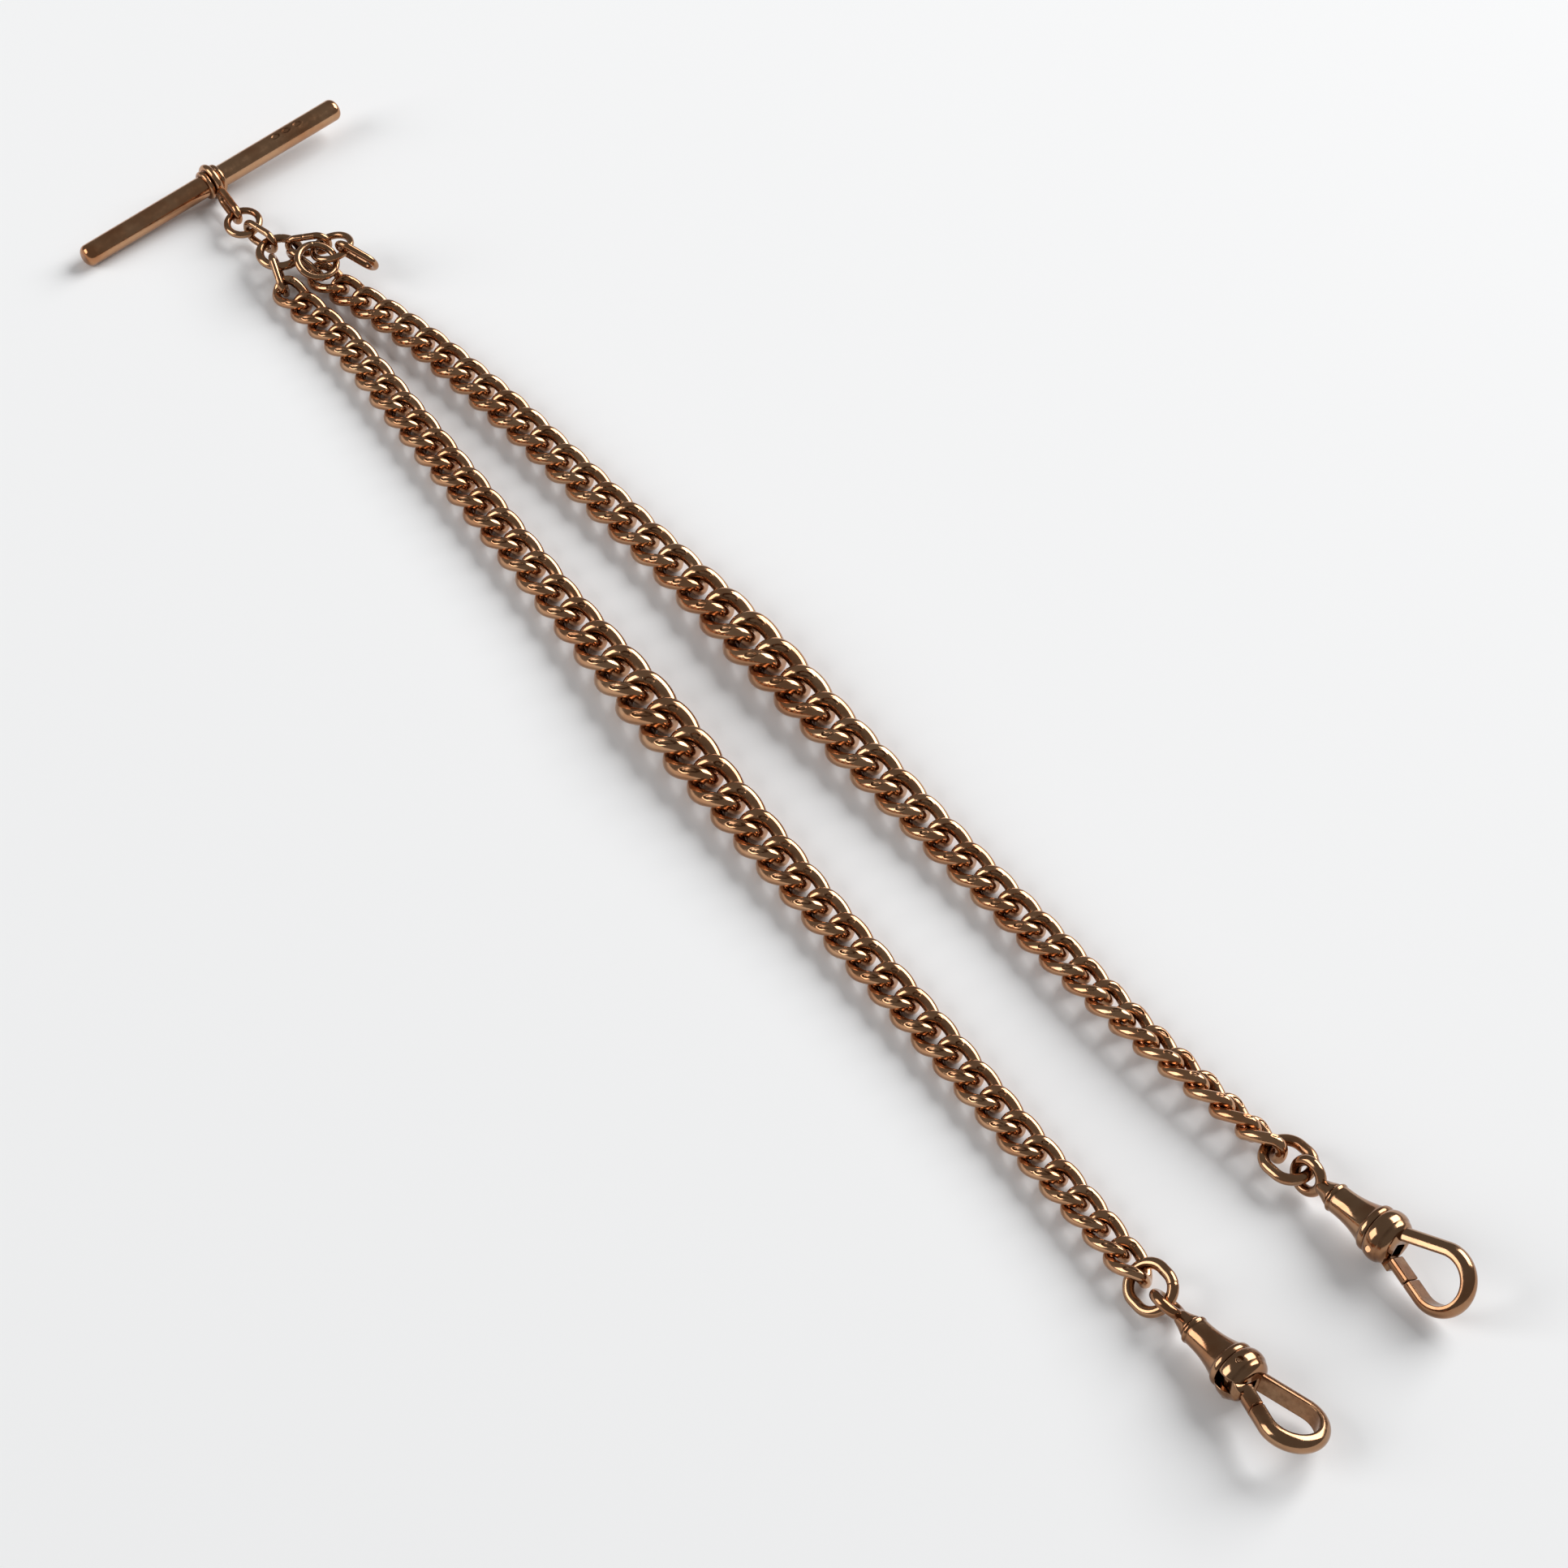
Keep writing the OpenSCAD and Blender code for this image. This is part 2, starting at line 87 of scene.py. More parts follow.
# The drop: steps and turns of its free rings from the drop's ring
DROP_SLACK = 0.3
DROP_HANG = 84
DROP_AIM = (48, 16)
DROP_RING_STEP = (1.7, 0.2, 0.4)
DROP_RING_TURN = (-13, -10, 80)
FOB_RING_STEP = (0.9, -2.8, -0.05)
FOB_RING_TURN = (18, 0, 107)
FOB_LINK_STEP = (3.3, 1.6, 0.25)
FOB_LINK_TURN = (-69, 20, 31)

# The arms: heading and roll at some of the links, heights of the first and last crossing
GROUPS = 14
GROUP_LINKS = 3
HEADINGS = {
    "left": ((0, 5), (2, 3), (5, -4), (10, -3.5), (15, -4), (20, -3), (25, -2.5), (30, -1), (35, -3),
             (39, -2), (42, -5)),
    "right": ((0, 15.5), (2, 13.5), (5, 7), (10, 2.5), (15, 2.5), (20, -0.5), (25, 0.5), (30, 1), (34, 0.5),
              (38, 4.5), (41, 5.5)),
}
ROLLS = {"left": ((0, 0), (37, 0), (42, -18)), "right": ((0, 0), (31, 0), (41, -52))}
ARM_START_Z = 1.6
ARM_END_Z = {"left": 2.1, "right": 2.5}

# How the links are graded, and the form of a curb link
LARGEST_AT = 0.48
PITCH_BELL = 0.3
GIRTH_STEPS = ((0, 0), (5, 0.2), (9, 0.35), (13, 0.4), (16, 0.45), (17, 0.55), (19, 0.85), (20, 1),
               (21, 0.95), (23, 0.7), (25, 0.55), (27, 0.35), (29, 0.25), (33, 0.2), (38, 0.1), (42, 0))
SHOULDER_PART = 0.8
TWIST_PART = 0.5
TWIST_OVER = 1.13
HAIR = 1.02
TABLE_CLEAR = 0.04

# The clips: places along one from its neck, and the aims and rolls of each with its end link
END_SLACK = 0.6
CLIP_NECK = 2.0
BEAD_AT = 7.6
DOME_AT = 8.55
PIN_AT = (7.7, -1.35)
PIN_R = 0.35
PIN_GAP = 0.02
HOLE_HALF = 4.0
LOOP_AT = 15.6
LOOP_ROOT = (8.6, 0.6)
GATE_START = 1.3
GATE_EASE = 0.06
GATE_END = 4.4
JOINT_ANGLE = 24
JOINT_GAP = 0.08
KNUCKLE_R = 0.9
KNUCKLE_W = 1.5
KNUCKLE_EDGE = 0.08
TONGUE = ((0.0, -0.75), (2.6, 0.55))
SLOT_FROM = 6.5
SLOT_TO = 10.5
SLOT_TOP = 0.3
CLIPS = {
    "left": dict(end_aim=(-3, 6), end_roll=36, eye_roll=126, clip_aim=(2, 2.8), clip_roll=-21),
    "right": dict(end_aim=(4, 3), end_roll=0, eye_roll=70, clip_aim=(6, 3.9), clip_roll=52),
}

# Profiles of a clip, along it from the neck and out from its axis
EYE_STEM = ((-CLIP_NECK - 0.2, 0), (-CLIP_NECK - 0.2, 0.75), (-1.2, 1.0), (-0.45, 1.32), (-0.2, 1.4),
            (0, 1.4), (0, 0.7), (1.6, 0.7), (1.6, 1.05), (2.1, 1.05), (2.1, 0))
BARREL_NECK = ((FIT_GAP, 0), (FIT_GAP, 1.45), (0.12, 1.6), (0.22, 1.69), (0.35, 1.72), (0.48, 1.69),
               (0.58, 1.6), (0.66, 1.58))
BARREL_RING = ((5.62, 2.5), (5.66, 2.6), (5.74, 2.69), (5.9, 2.75), (6.1, 2.77), (6.32, 2.75), (6.48, 2.68),
               (6.56, 2.58), (6.6, 2.54))
BARREL_GROOVES = (0.66, 5.6, 6.64, 8.6)

# Punched ovals on the bar: along it, round it in radians, their half length, half width and depth, and the
# strength of the painted shade and dirt in them
BAR_MARKS = (10.2, 11.9, 13.6)
BAR_MARK_ANGLE = 1.7
BAR_MARK_SIZE = (0.62, 0.4, 0.09)
BAR_MARK_SHADE_AND_DIRT = 1.6

# Punched ovals on each link's two rails: share of the loop, angle round the wire, then their half lengths,
# half width and depth in wires, and the strength of the painted shade and dirt in them
MARK_PLACES = ((0.88, 1.95), (0.38, 0.9))
MARK_LENGTHS = {"left": (0.27, 0.52), "right": (0.52, 0.27)}
MARK_WIDTH = 0.17
MARK_DEPTH = 0.08
MARK_SHADE_AND_DIRT = 1.8

# Form of a punched oval over its radius, which is 1 at its edge: width of the wall, then the place and
# width of the raised rim and of the painted shade and dirt inside the wall, and the rim's height in depths
PUNCH_WALL = 0.35
PUNCH_RIM = (1.12, 0.14)
PUNCH_SHADE_AND_DIRT = (0.82, 0.2)
PUNCH_RIM_HEIGHT = 0.22

# Soldered seams: depth of the groove in wires, its width, and the share of the loop where each one lies
SEAM_DEPTH = 0.035
SEAM_WIDTH = 0.07
SEAMS = {"jump_ring": 0.31, "centre_ring": 0.4, "drop_ring": 0.7, "fob_ring": 0.15}
OVAL_SEAM = 0.42
END_SEAM = 0.36

# Wander of a curb link's wire, in wires, how far samples crowd towards the marks, and the samples along and
# round the wire
WANDER = 0.006
CROWDING = 0.5
LINK_GRID = (152, 36)

# Gold finishes: share of deeper gold in the patches, roughness against the polish, and tone, which darkens
# each piece's copy of the same gold as painted shade
GOLDS = {"rose_gold_links": (0.75, 1.0, 0.95), "rose_gold_rings": (0.6, 0.9, 0.74),
         "rose_gold_bar": (0.9, 1.15, 0.88), "rose_gold_clips": (0.9, 0.85, 0.68)}
BLUED_STEEL = (0.3, 0.3, 0.34)

# The photograph's camera, over the table point that it looks at
CAMERA_TARGET = (9.1, 0.7, 0.0)
CAMERA_AZIMUTH = -36.3
CAMERA_HEIGHT_ANGLE = 50
CAMERA_DISTANCE = 572.4
CAMERA_LENS = 114.1
SENSOR_WIDTH = 36.0
TABLE_HALF = 3000

# Soft lamps: place to the camera's right, towards it and up from the target, width, height and watts
LAMPS = {
    "key_softbox": ((1220, -940, 1060), (1400, 1300), 40.0),
    "left_softbox": ((-1520, 240, 830), (1100, 1100), 14.5),
}
WORLD_LIGHT = 0.19


def length_prop(label, text, mm):
    """A length property, with its default in millimetres."""
    return FloatProperty(name=label, description=text, default=mm * MM, unit="LENGTH")


def graded_prop(label, mm):
    """Three length properties in one, for a size that is graded along an arm."""
    text = "At the start, the largest link and the end"
    return FloatVectorProperty(name=label, description=text, default=[v * MM for v in mm], unit="LENGTH")


def colour_prop(label, text, rgb):
    """A colour property."""
    return FloatVectorProperty(name=label, description=text, subtype="COLOR", default=rgb)


class ChainSizes(PropertyGroup):
    """Sizes of the chain's pieces"""

    bar_length: length_prop("T-bar length", "Length over the domed ends", 40)
    bar_d: length_prop("T-bar diameter", "Diameter of the bar", 2.9)
    swivel_wire: length_prop("Swivel wire", "Wire of the ring and eye on the bar", 0.95)
    collar_w: length_prop("Collar width", "Width of a bead collar along the bar", 0.75)
    collar_rise: length_prop("Collar rise", "Height of a bead collar above the bar", 0.5)
    eye_reach: length_prop("Eye reach", "Bar axis to the far end of the swivel's eye", 8)
    eye_width: length_prop("Eye width", "Width of the swivel's eye", 3)
    jump_d: length_prop("Jump ring", "Outer diameter of the jump ring", 5)
    jump_wire: length_prop("Jump ring wire", "Wire of the jump ring", 0.9)
    centre_d: length_prop("Centre ring", "Outer diameter of the centre ring", 6.2)
    centre_wire: length_prop("Centre ring wire", "Wire of the centre ring", 1.1)
    oval_length: length_prop("Connector length", "Outer length of an oval connector", 6.2)
    oval_width: length_prop("Connector width", "Outer width of an oval connector", 3.6)
    oval_wire: length_prop("Connector wire", "Wire of the connectors and drop rings", 0.9)
    drop_d: length_prop("Drop rings", "Outer diameter of the drop's rings", 5.8)
    pitch: graded_prop("Link pitch", (3.5, 5.05, 3.85))
    width: graded_prop("Link width", (4.45, 7.2, 4.85))
    wire: graded_prop("Link wire", (1.18, 2.02, 1.36))
    play: length_prop("Link play", "Free play between two links", 0.18)
    left_links: IntProperty(name="Left links", description="Links in the left arm", default=43)
    right_links: IntProperty(name="Right links", description="Links in the right arm", default=42)
    end_length: length_prop("End link length", "Outer length of an end link", 7)
    end_width: length_prop("End link width", "Outer width of an end link", 6)
    end_wire: length_prop("End link wire", "Wire of an end link", 1.3)
    clip_eye_d: length_prop("Clip eye", "Outer diameter of a clip's eye", 4.8)
    clip_eye_wire: length_prop("Clip eye wire", "Wire of a clip's eye", 1.25)
    barrel_length: length_prop("Barrel length", "Neck to the end of the dome", 9.6)
    bead_d: length_prop("Bead", "Diameter of the bead round the barrel's mouth", 6.1)
    hook_inner_r: length_prop("Hook bend", "Inner radius of the hook's bend", 2.75)
    hook_thick: length_prop("Hook thickness", "Thickness over the flat inner face", 1.4)
    hook_band: length_prop("Hook width", "Width of the hook's band", 2.2)


class ChainColours(PropertyGroup):
    """Finishes of the chain"""

    gold: colour_prop("Rose gold", "Polished face of the gold", (0.58, 0.332, 0.185))
    gold_deep: colour_prop("Deep gold", "Redder gold in worn patches", (0.46, 0.2, 0.09))
    # Dark brown for the inner sides of loops, grooves, joins and punched ovals: painted shade there, with
    # grime
    grime: colour_prop("Grime", "Old polish and dirt in the crevices", (0.09, 0.035, 0.015))
    steel: colour_prop("Spring steel", "Leaf springs inside the barrels", (0.42, 0.42, 0.44))
    floor: colour_prop("Table", "Pale table under the chain", (0.92, 0.925, 0.93))
    polish: FloatProperty(name="Polish roughness", description="Roughness of the polished gold",
                          default=0.13, min=0.02, max=0.6, subtype="FACTOR")


def aim(heading, rise=0.0):
    """Unit vector at a heading from +X and a rise from level, in degrees."""
    h, r = np.radians((heading, rise))
    return np.array((np.cos(h) * np.cos(r), np.sin(h) * np.cos(r), np.sin(r)))


def unit(v):
    """A vector, or each row of an array, divided by its length."""
    return v / np.linalg.norm(v, axis=-1, keepdims=True)


def turned(angles):
    """Rotation matrix that turns about X, then Y, then Z, by degrees."""
    x, y, z = np.radians(angles)
    about_x = np.array(((1, 0, 0), (0, np.cos(x), -np.sin(x)), (0, np.sin(x), np.cos(x))))
    about_y = np.array(((np.cos(y), 0, np.sin(y)), (0, 1, 0), (-np.sin(y), 0, np.cos(y))))
    about_z = np.array(((np.cos(z), -np.sin(z), 0), (np.sin(z), np.cos(z), 0), (0, 0, 1)))
    return about_z @ about_y @ about_x


def between(a, b, roll=0.0):
    """Frame with X from a to b, Y level to the left and then rolled, and its origin midway."""
    along = unit(b - a)
    level = unit(np.array((-along[1], along[0], 0.0)))
    up = np.cross(along, level)
    r = np.radians(roll)
    side = level * np.cos(r) + up * np.sin(r)
    return np.column_stack((along, side, np.cross(along, side))), (a + b) / 2


def placed(points, frame):
    """Local points carried into the chain's frame by a rotation and an origin."""
    rotation, origin = frame
    return points @ rotation.T + origin


class Layout:
    """Where every piece lies, walked from the T-bar: sizes in millimetres, as in the solids."""

    def __init__(self, sizes):
        for name in sizes.__annotations__:
            value = getattr(sizes, name)
            if isinstance(value, int):
                setattr(self, name, value)
            elif isinstance(value, float):
                setattr(self, name, round(value / MM, 5))
            else:
                setattr(self, name, tuple(round(v / MM, 5) for v in value))
        self.bar_r = self.bar_d / 2
        self.swivel_r = self.bar_r + FIT_GAP + self.swivel_wire
        self.bar_centre = np.array((BAR_X, 0.0, self.swivel_r))
        tilt = np.degrees(np.arcsin((self.swivel_r - self.bar_r) / (self.bar_length / 2)))
        self.bar_frame = (turned((0, -tilt, BAR_HEADING)), self.bar_centre)
        oval_pitch = self.oval_length - 2 * self.oval_wire - RING_PLAY
        slack_pitch = oval_pitch - DROP_SLACK
        arm_pitch = oval_pitch - ARM_SLACK
        reach = self.eye_reach - self.swivel_wire - RING_PLAY / 2
        self.eye_inner = self.bar_centre + reach * aim(SWIVEL_HEADING, -SWIVEL_DIP)
        self.jump_end = self.eye_inner + (self.jump_d - 2 * self.jump_wire - RING_PLAY) * aim(*JUMP_AIM)
        self.connector_end = self.jump_end + oval_pitch * aim(*TOP_CONNECTOR_AIM)
        hole = self.centre_d / 2 - self.centre_wire - RING_PLAY / 2
        self.centre_at = self.connector_end + hole * aim(0)
        dip = -np.degrees(np.arcsin((self.centre_at[2] - ARM_START_Z) / arm_pitch))
        self.left_hang = self.centre_at + hole * aim(LEFT_HANG)
        self.left_start = self.left_hang + arm_pitch * aim(LEFT_CONNECTOR_HEADING, dip)
        self.right_hang = self.centre_at + hole * aim(RIGHT_HANG)
        self.right_start = self.right_hang + arm_pitch * aim(RIGHT_CONNECTOR_HEADING, dip)
        self.drop_hang = self.centre_at + hole * aim(DROP_HANG)
        self.drop_end = self.drop_hang + slack_pitch * aim(*DROP_AIM)
        self.drop_ring_at = self.drop_end + np.array(DROP_RING_STEP)
        self.fob_ring_at = self.drop_ring_at + np.array(FOB_RING_STEP)
        self.fob_link_at = self.drop_ring_at + np.array(FOB_LINK_STEP)
        self.knots = {"left": self.crossings("left", self.left_start, self.left_links),
                      "right": self.crossings("right", self.right_start, self.right_links)}

    def link_sizes(self, i):
        """Pitch, width and wire of link i: each lies between an end's size and the largest one's.

        The pitch follows a bell that is 1 at the largest link, 1 / (1 + (t / bell) squared), where t runs
        from 0 there to 1 at an end. The width and the wire follow the girth steps, straight in between.
        """
        u = np.asarray(i, float) / (GROUPS * GROUP_LINKS - 1)
        before = u < LARGEST_AT
        t = np.where(before, (LARGEST_AT - u) / LARGEST_AT, (u - LARGEST_AT) / (1 - LARGEST_AT))
        bell = 1 / (1 + (t / PITCH_BELL) ** 2)
        girth = np.interp(i, *zip(*GIRTH_STEPS))

        def graded(three, part):
            end = np.where(before, three[0], three[2])
            return end + (three[1] - end) * part

        return graded(self.pitch, bell), graded(self.width, girth), graded(self.wire, girth)

    def roll(self, side, i):
        """Roll of link i of an arm, in degrees."""
        return np.interp(i, *zip(*ROLLS[side]))

    def rolled_height(self, side, i):
        """Half height of link i of an arm as it lies rolled on the table."""
        r = np.radians(self.roll(side, i))
        _, width, w = self.link_sizes(i)
        b = (width - w) / 2
        tip = np.abs(SHOULDER_PART * b * np.sin(r)) + np.abs(TWIST_OVER * TWIST_PART * w * np.cos(r))
        return np.maximum(np.abs(b * np.sin(r)), tip) + HAIR * w / 2 + TABLE_CLEAR

    def crossings(self, side, start, count):
        """Crossings between links: running sums of pitch times heading, at the height the links need."""
        i = np.arange(count)
        h = np.radians(np.interp(i, *zip(*HEADINGS[side])))
        pitch, _, _ = self.link_sizes(i)
        xy = np.zeros((count + 1, 2))
        xy[1:] = np.cumsum(pitch[:, None] * np.column_stack((np.cos(h), np.sin(h))), axis=0)
        height = self.rolled_height(side, i)
        z = np.concatenate((start[2:], np.maximum(height[:-1], height[1:]), (ARM_END_Z[side],)))
        return np.column_stack((xy + start[:2], z))

    def link_frame(self, side, i):
        """Frame of link i of an arm, between its two crossings."""
        knots = self.knots[side]
        return between(knots[i], knots[i + 1], self.roll(side, i))

    def end_hang(self, side):
        """Crossing between an end link and its clip's eye."""
        pitch = self.end_length - 2 * self.end_wire - END_SLACK
        return self.knots[side][-1] + pitch * aim(*CLIPS[side]["end_aim"])

    def clip_frame(self, side, which):
        """Frame of a clip at its neck, with X along the barrel; which names the roll to use."""
        way = aim(*CLIPS[side]["clip_aim"])
        ring_r = (self.clip_eye_d - self.clip_eye_wire) / 2
        reach = 2 * ring_r - self.clip_eye_wire / 2 - RING_PLAY / 2 + CLIP_NECK
        origin = self.end_hang(side) + reach * way
        return between(origin - way, origin + way, CLIPS[side][which])


def curb_centreline(pitch, width, wire, play, count):
    """Closed centre line of a curb link: two rail arcs and four end arcs, tangent where they meet.

    With half width b, shoulder (c, y1, z1) and rail slope q, a rail arc in the plane of Y and
    (cos q, 0, sin q) has radius (h^2 + s^2) / 2s, h = |(c, z1)| and s = b - y1. The end arc leaves the
    shoulder along the rail's tangent and closes on (a, 0, 0); c is halved until a fits the pitch.
    The samples lie closer together at the marks, on the upper part of each rail.
    """
    a = (pitch + wire + play) / 2
    b = (width - wire) / 2
    y1 = SHOULDER_PART * b
    z1 = -TWIST_PART * wire

    def shape(c):
        slope = np.arctan2(z1, c)
        h = np.hypot(c, z1)
        radius = (h * h + (b - y1) ** 2) / (2 * (b - y1))
        sweep = np.arcsin(h / radius)
        rise = y1 * np.cos(sweep) * np.sin(slope) + z1 * np.sin(sweep)
        end = np.arctan2(z1, y1) + np.arcsin(rise / np.hypot(y1, z1))
        half = c + y1 * np.cos(sweep) * np.cos(slope) / (np.sin(sweep) + np.cos(end))
        return slope, radius, sweep, half

    low, high = 0.1 * a, 0.95 * a
    for _ in range(40):
        c = (low + high) / 2
        low, high = (c, high) if shape(c)[3] < a else (low, c)
    slope, radius, sweep, _ = shape(c)
    along = np.array((np.cos(slope), 0.0, np.sin(slope)))
    shoulder = np.array((c, y1, z1))
    going = np.cos(sweep) * along - np.array((0.0, np.sin(sweep), 0.0))
    chord = np.array((a, 0.0, 0.0)) - shoulder
    half_turn = np.arccos(np.clip(unit(chord) @ going, -1, 1))
    end_r = np.linalg.norm(chord) / (2 * np.sin(half_turn))
    inward = unit(chord - (chord @ going) * going)
    rail_len = radius * sweep
    end_len = 2 * end_r * half_turn
    quarter = rail_len + end_len
    t = np.arange(count) / count
    s = 4 * quarter * (t - CROWDING * np.sin(4 * np.pi * (t - MARK_PLACES[0][0])) / (4 * np.pi))
    lap = np.floor(s / quarter).astype(int) % 4
    part = s - quarter * np.floor(s / quarter)
    back = lap % 2 == 1
    part = np.where(back, quarter - part, part)
    on_rail = part <= rail_len
    q = np.minimum(part, rail_len) / radius
    arc = np.outer(np.cos(q), (0, 1, 0)) + np.outer(np.sin(q), along)
    rail = np.array((0.0, b - radius, 0.0)) + radius * arc
    e = np.maximum(part - rail_len, 0) / end_r
    bend = shoulder + end_r * (np.outer(1 - np.cos(e), inward) + np.outer(np.sin(e), going))
    point = np.where(on_rail[:, None], rail, bend)
    flips = np.array(((1, 1, 1), (1, -1, -1), (-1, -1, 1), (-1, 1, -1)))
    return point * flips[lap], s / (4 * quarter), 4 * quarter


def loop_frames(path):
    """Outward normal and binormal along a closed path about its own origin."""
    tangent = unit(np.roll(path, -1, axis=0) - np.roll(path, 1, axis=0))
    normal = unit(path - np.sum(path * tangent, axis=1, keepdims=True) * tangent)
    return normal, np.cross(tangent, normal)


def dense_angles(count):
    """Angles round a wire, closer together on its upper side, where the marks are."""
    t = 2 * np.pi * np.arange(count) / count
    return t + CROWDING * np.cos(t)


def grid_faces(rows, cols, wrap_rows):
    """Quads of a grid that is closed across its columns, and along its rows if wrap_rows."""
    r = np.arange(rows if wrap_rows else rows - 1)[:, None]
    c = np.arange(cols)[None, :]
    nr = (r + 1) % rows
    nc = (c + 1) % cols
    return np.stack((r * cols + c, nr * cols + c, nr * cols + nc, r * cols + nc), axis=-1).reshape(-1, 4)


class Surface:
    """Points, quads and painted shade with grime gathered for one mesh."""

    def __init__(self):
        self.points, self.quads, self.caps, self.grime = [], [], [], []
        self.count = 0

    def add(self, points, frame, wrap_rows, grime, caps=False):
        """Adds a grid of local points, carried into a frame; caps closes both ends of an open one."""
        rows, cols = points.shape[:2]
        self.quads.append(grid_faces(rows, cols, wrap_rows) + self.count)
        self.points.append(placed(points.reshape(-1, 3), frame))
        self.grime.append(np.broadcast_to(grime, (rows, cols)).reshape(-1))
        if caps:
            last = self.count + (rows - 1) * cols
            self.caps.append(list(range(self.count + cols - 1, self.count - 1, -1)))
            self.caps.append(list(range(last, last + cols)))
        self.count += rows * cols

    def join(self, other):
        """Takes in another surface."""
        self.quads += [quads + self.count for quads in other.quads]
        self.points += other.points
        self.grime += other.grime
        self.count += other.count

    def carried(self, frame):
        """The same surface in another frame."""
        self.points = [placed(p, frame) for p in self.points]
        return self


def sweep_wire(path, radius, cols, grime_inside=1.0, offset=0.0):
    """A round wire along a closed path: point + r (cos q normal + sin q binormal), q dense on top."""
    normal, binormal = loop_frames(path)
    q = dense_angles(cols)[None, :, None]
    r = np.broadcast_to(radius + offset, (len(path), cols))[..., None]
    points = path[:, None] + r * (np.cos(q) * normal[:, None] + np.sin(q) * binormal[:, None])
    # Painted shade with grime on the side of the wire that faces the loop's hole
    inside = np.clip((-np.cos(q[..., 0]) - 0.15) / 0.85, 0, 1) * grime_inside
    return points, inside


def bell(distance, width):
    """A smooth bump of height 1: exp(-(distance / width) squared)."""
    return np.exp(-(distance / width) ** 2)


def punch(along, around, long_r, short_r, depth):
    """A punched oval: the radial offset of a flat-floored dent with a soft rim, and the painted shade and
    dirt just inside its wall.
    """
    rho = np.sqrt((along / long_r) ** 2 + (around / short_r) ** 2)
    wall = np.clip((1 - rho) / PUNCH_WALL, 0, 1)
    rim, shade_and_dirt = (bell(rho - place, width) for place, width in (PUNCH_RIM, PUNCH_SHADE_AND_DIRT))
    return depth * (PUNCH_RIM_HEIGHT * rim - wall * wall * (3 - 2 * wall)), shade_and_dirt


def oval_path(length, width, wire, count):
    """Centre line of a flat oval link: two half circles and two straights, evenly sampled."""
    bend = (width - wire) / 2
    straight = length - width
    arc = np.pi * bend
    total = 2 * (arc + straight)
    s = total * np.arange(count) / count
    turn = np.clip(s, 0, arc) / bend - np.pi / 2
    top = np.clip(s - arc, 0, straight)
    turn_back = np.clip(s - arc - straight, 0, arc) / bend
    low = np.clip(s - 2 * arc - straight, 0, straight)
    first = np.column_stack((straight / 2 + bend * np.cos(turn), bend * np.sin(turn)))
    second = np.column_stack((straight / 2 - top, np.full(count, bend)))
    third = np.column_stack((-straight / 2 - bend * np.sin(turn_back), bend * np.cos(turn_back)))
    fourth = np.column_stack((-straight / 2 + low, np.full(count, -bend)))
    which = (s > arc).astype(int) + (s > arc + straight) + (s > 2 * arc + straight)
    xy = np.choose(which[:, None], (first, second, third, fourth))
    return np.column_stack((xy, np.zeros(count))), total


def wire_loop(surface, path, total, wire, frame, seam=None, cols=32):
    """Adds a bent wire loop to a surface, with a fine soldered seam at a share of its length."""
    t = np.arange(len(path)) / len(path)
    offset = 0.0
    if seam is not None:
        gap = (np.abs((t - seam + 0.5) % 1 - 0.5) * total)[:, None]
        offset = -SEAM_DEPTH * wire * bell(gap, SEAM_WIDTH)
    # Painted shade with grime at 0.8 on the inner side of the loop
    points, inside = sweep_wire(path, wire / 2, cols, 0.8, offset)
    surface.add(points, frame, True, inside)


def revolve(surface, along, radius, frame, turns=72, grime=0.0, offset=0.0):
    """A profile turned about X: (x, r cos q, r sin q), closed on the axis at both ends."""
    q = -2 * np.pi * np.arange(turns) / turns
    r = np.asarray(radius, float)[:, None] + np.broadcast_to(offset, (len(along), turns))
    x = np.broadcast_to(np.asarray(along, float)[:, None], r.shape)
    points = np.stack((x, r * np.cos(q), r * np.sin(q)), axis=-1)
    grime = np.asarray(grime, float)
    surface.add(points, frame, False, grime if grime.ndim == 2 else grime.reshape(-1, 1))


def smooth_profile(corners, steps=3):
    """A profile with its corners cut three times, each cut a quarter of the way in, ends kept."""
    line = np.asarray(corners, float)
    for _ in range(steps):
        near = 0.75 * line[:-1] + 0.25 * line[1:]
        far = 0.25 * line[:-1] + 0.75 * line[1:]
        inner = np.stack((near, far), axis=1).reshape(-1, 2)
        line = np.vstack((line[:1], inner, line[-1:]))
    return line


def weld(mesh):
    """Merges a mesh's points at seams and poles, and turns its faces outward."""
    build = bmesh.new()
    build.from_mesh(mesh)
    bmesh.ops.remove_doubles(build, verts=build.verts, dist=WELD)
    bmesh.ops.recalc_face_normals(build, faces=build.faces)
    build.to_mesh(mesh)
    build.free()


def smooth_mesh(name, surface):
    """A smooth welded mesh from a surface, with its painted shade and grime as an attribute."""
    mesh = bpy.data.meshes.new(name)
    quads = np.concatenate(surface.quads).tolist()
    mesh.from_pydata(np.concatenate(surface.points) * MM, [], quads + surface.caps)
    grime = mesh.attributes.new("grime", "FLOAT", "POINT")
    grime.data.foreach_set("value", np.concatenate(surface.grime).astype(np.float32))
    weld(mesh)
    mesh.polygons.foreach_set("use_smooth", np.ones(len(mesh.polygons), bool))
    return mesh


def make_object(name, surface, material, body, nodes):
    """A mesh object at the origin from a surface, riding on a body in the place of some solids."""
    piece = bpy.data.objects.new(name, smooth_mesh(name, surface))
    bpy.context.scene.collection.objects.link(piece)
    piece.data.materials.append(material)
    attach(piece, body)
    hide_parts(*nodes)
    return piece


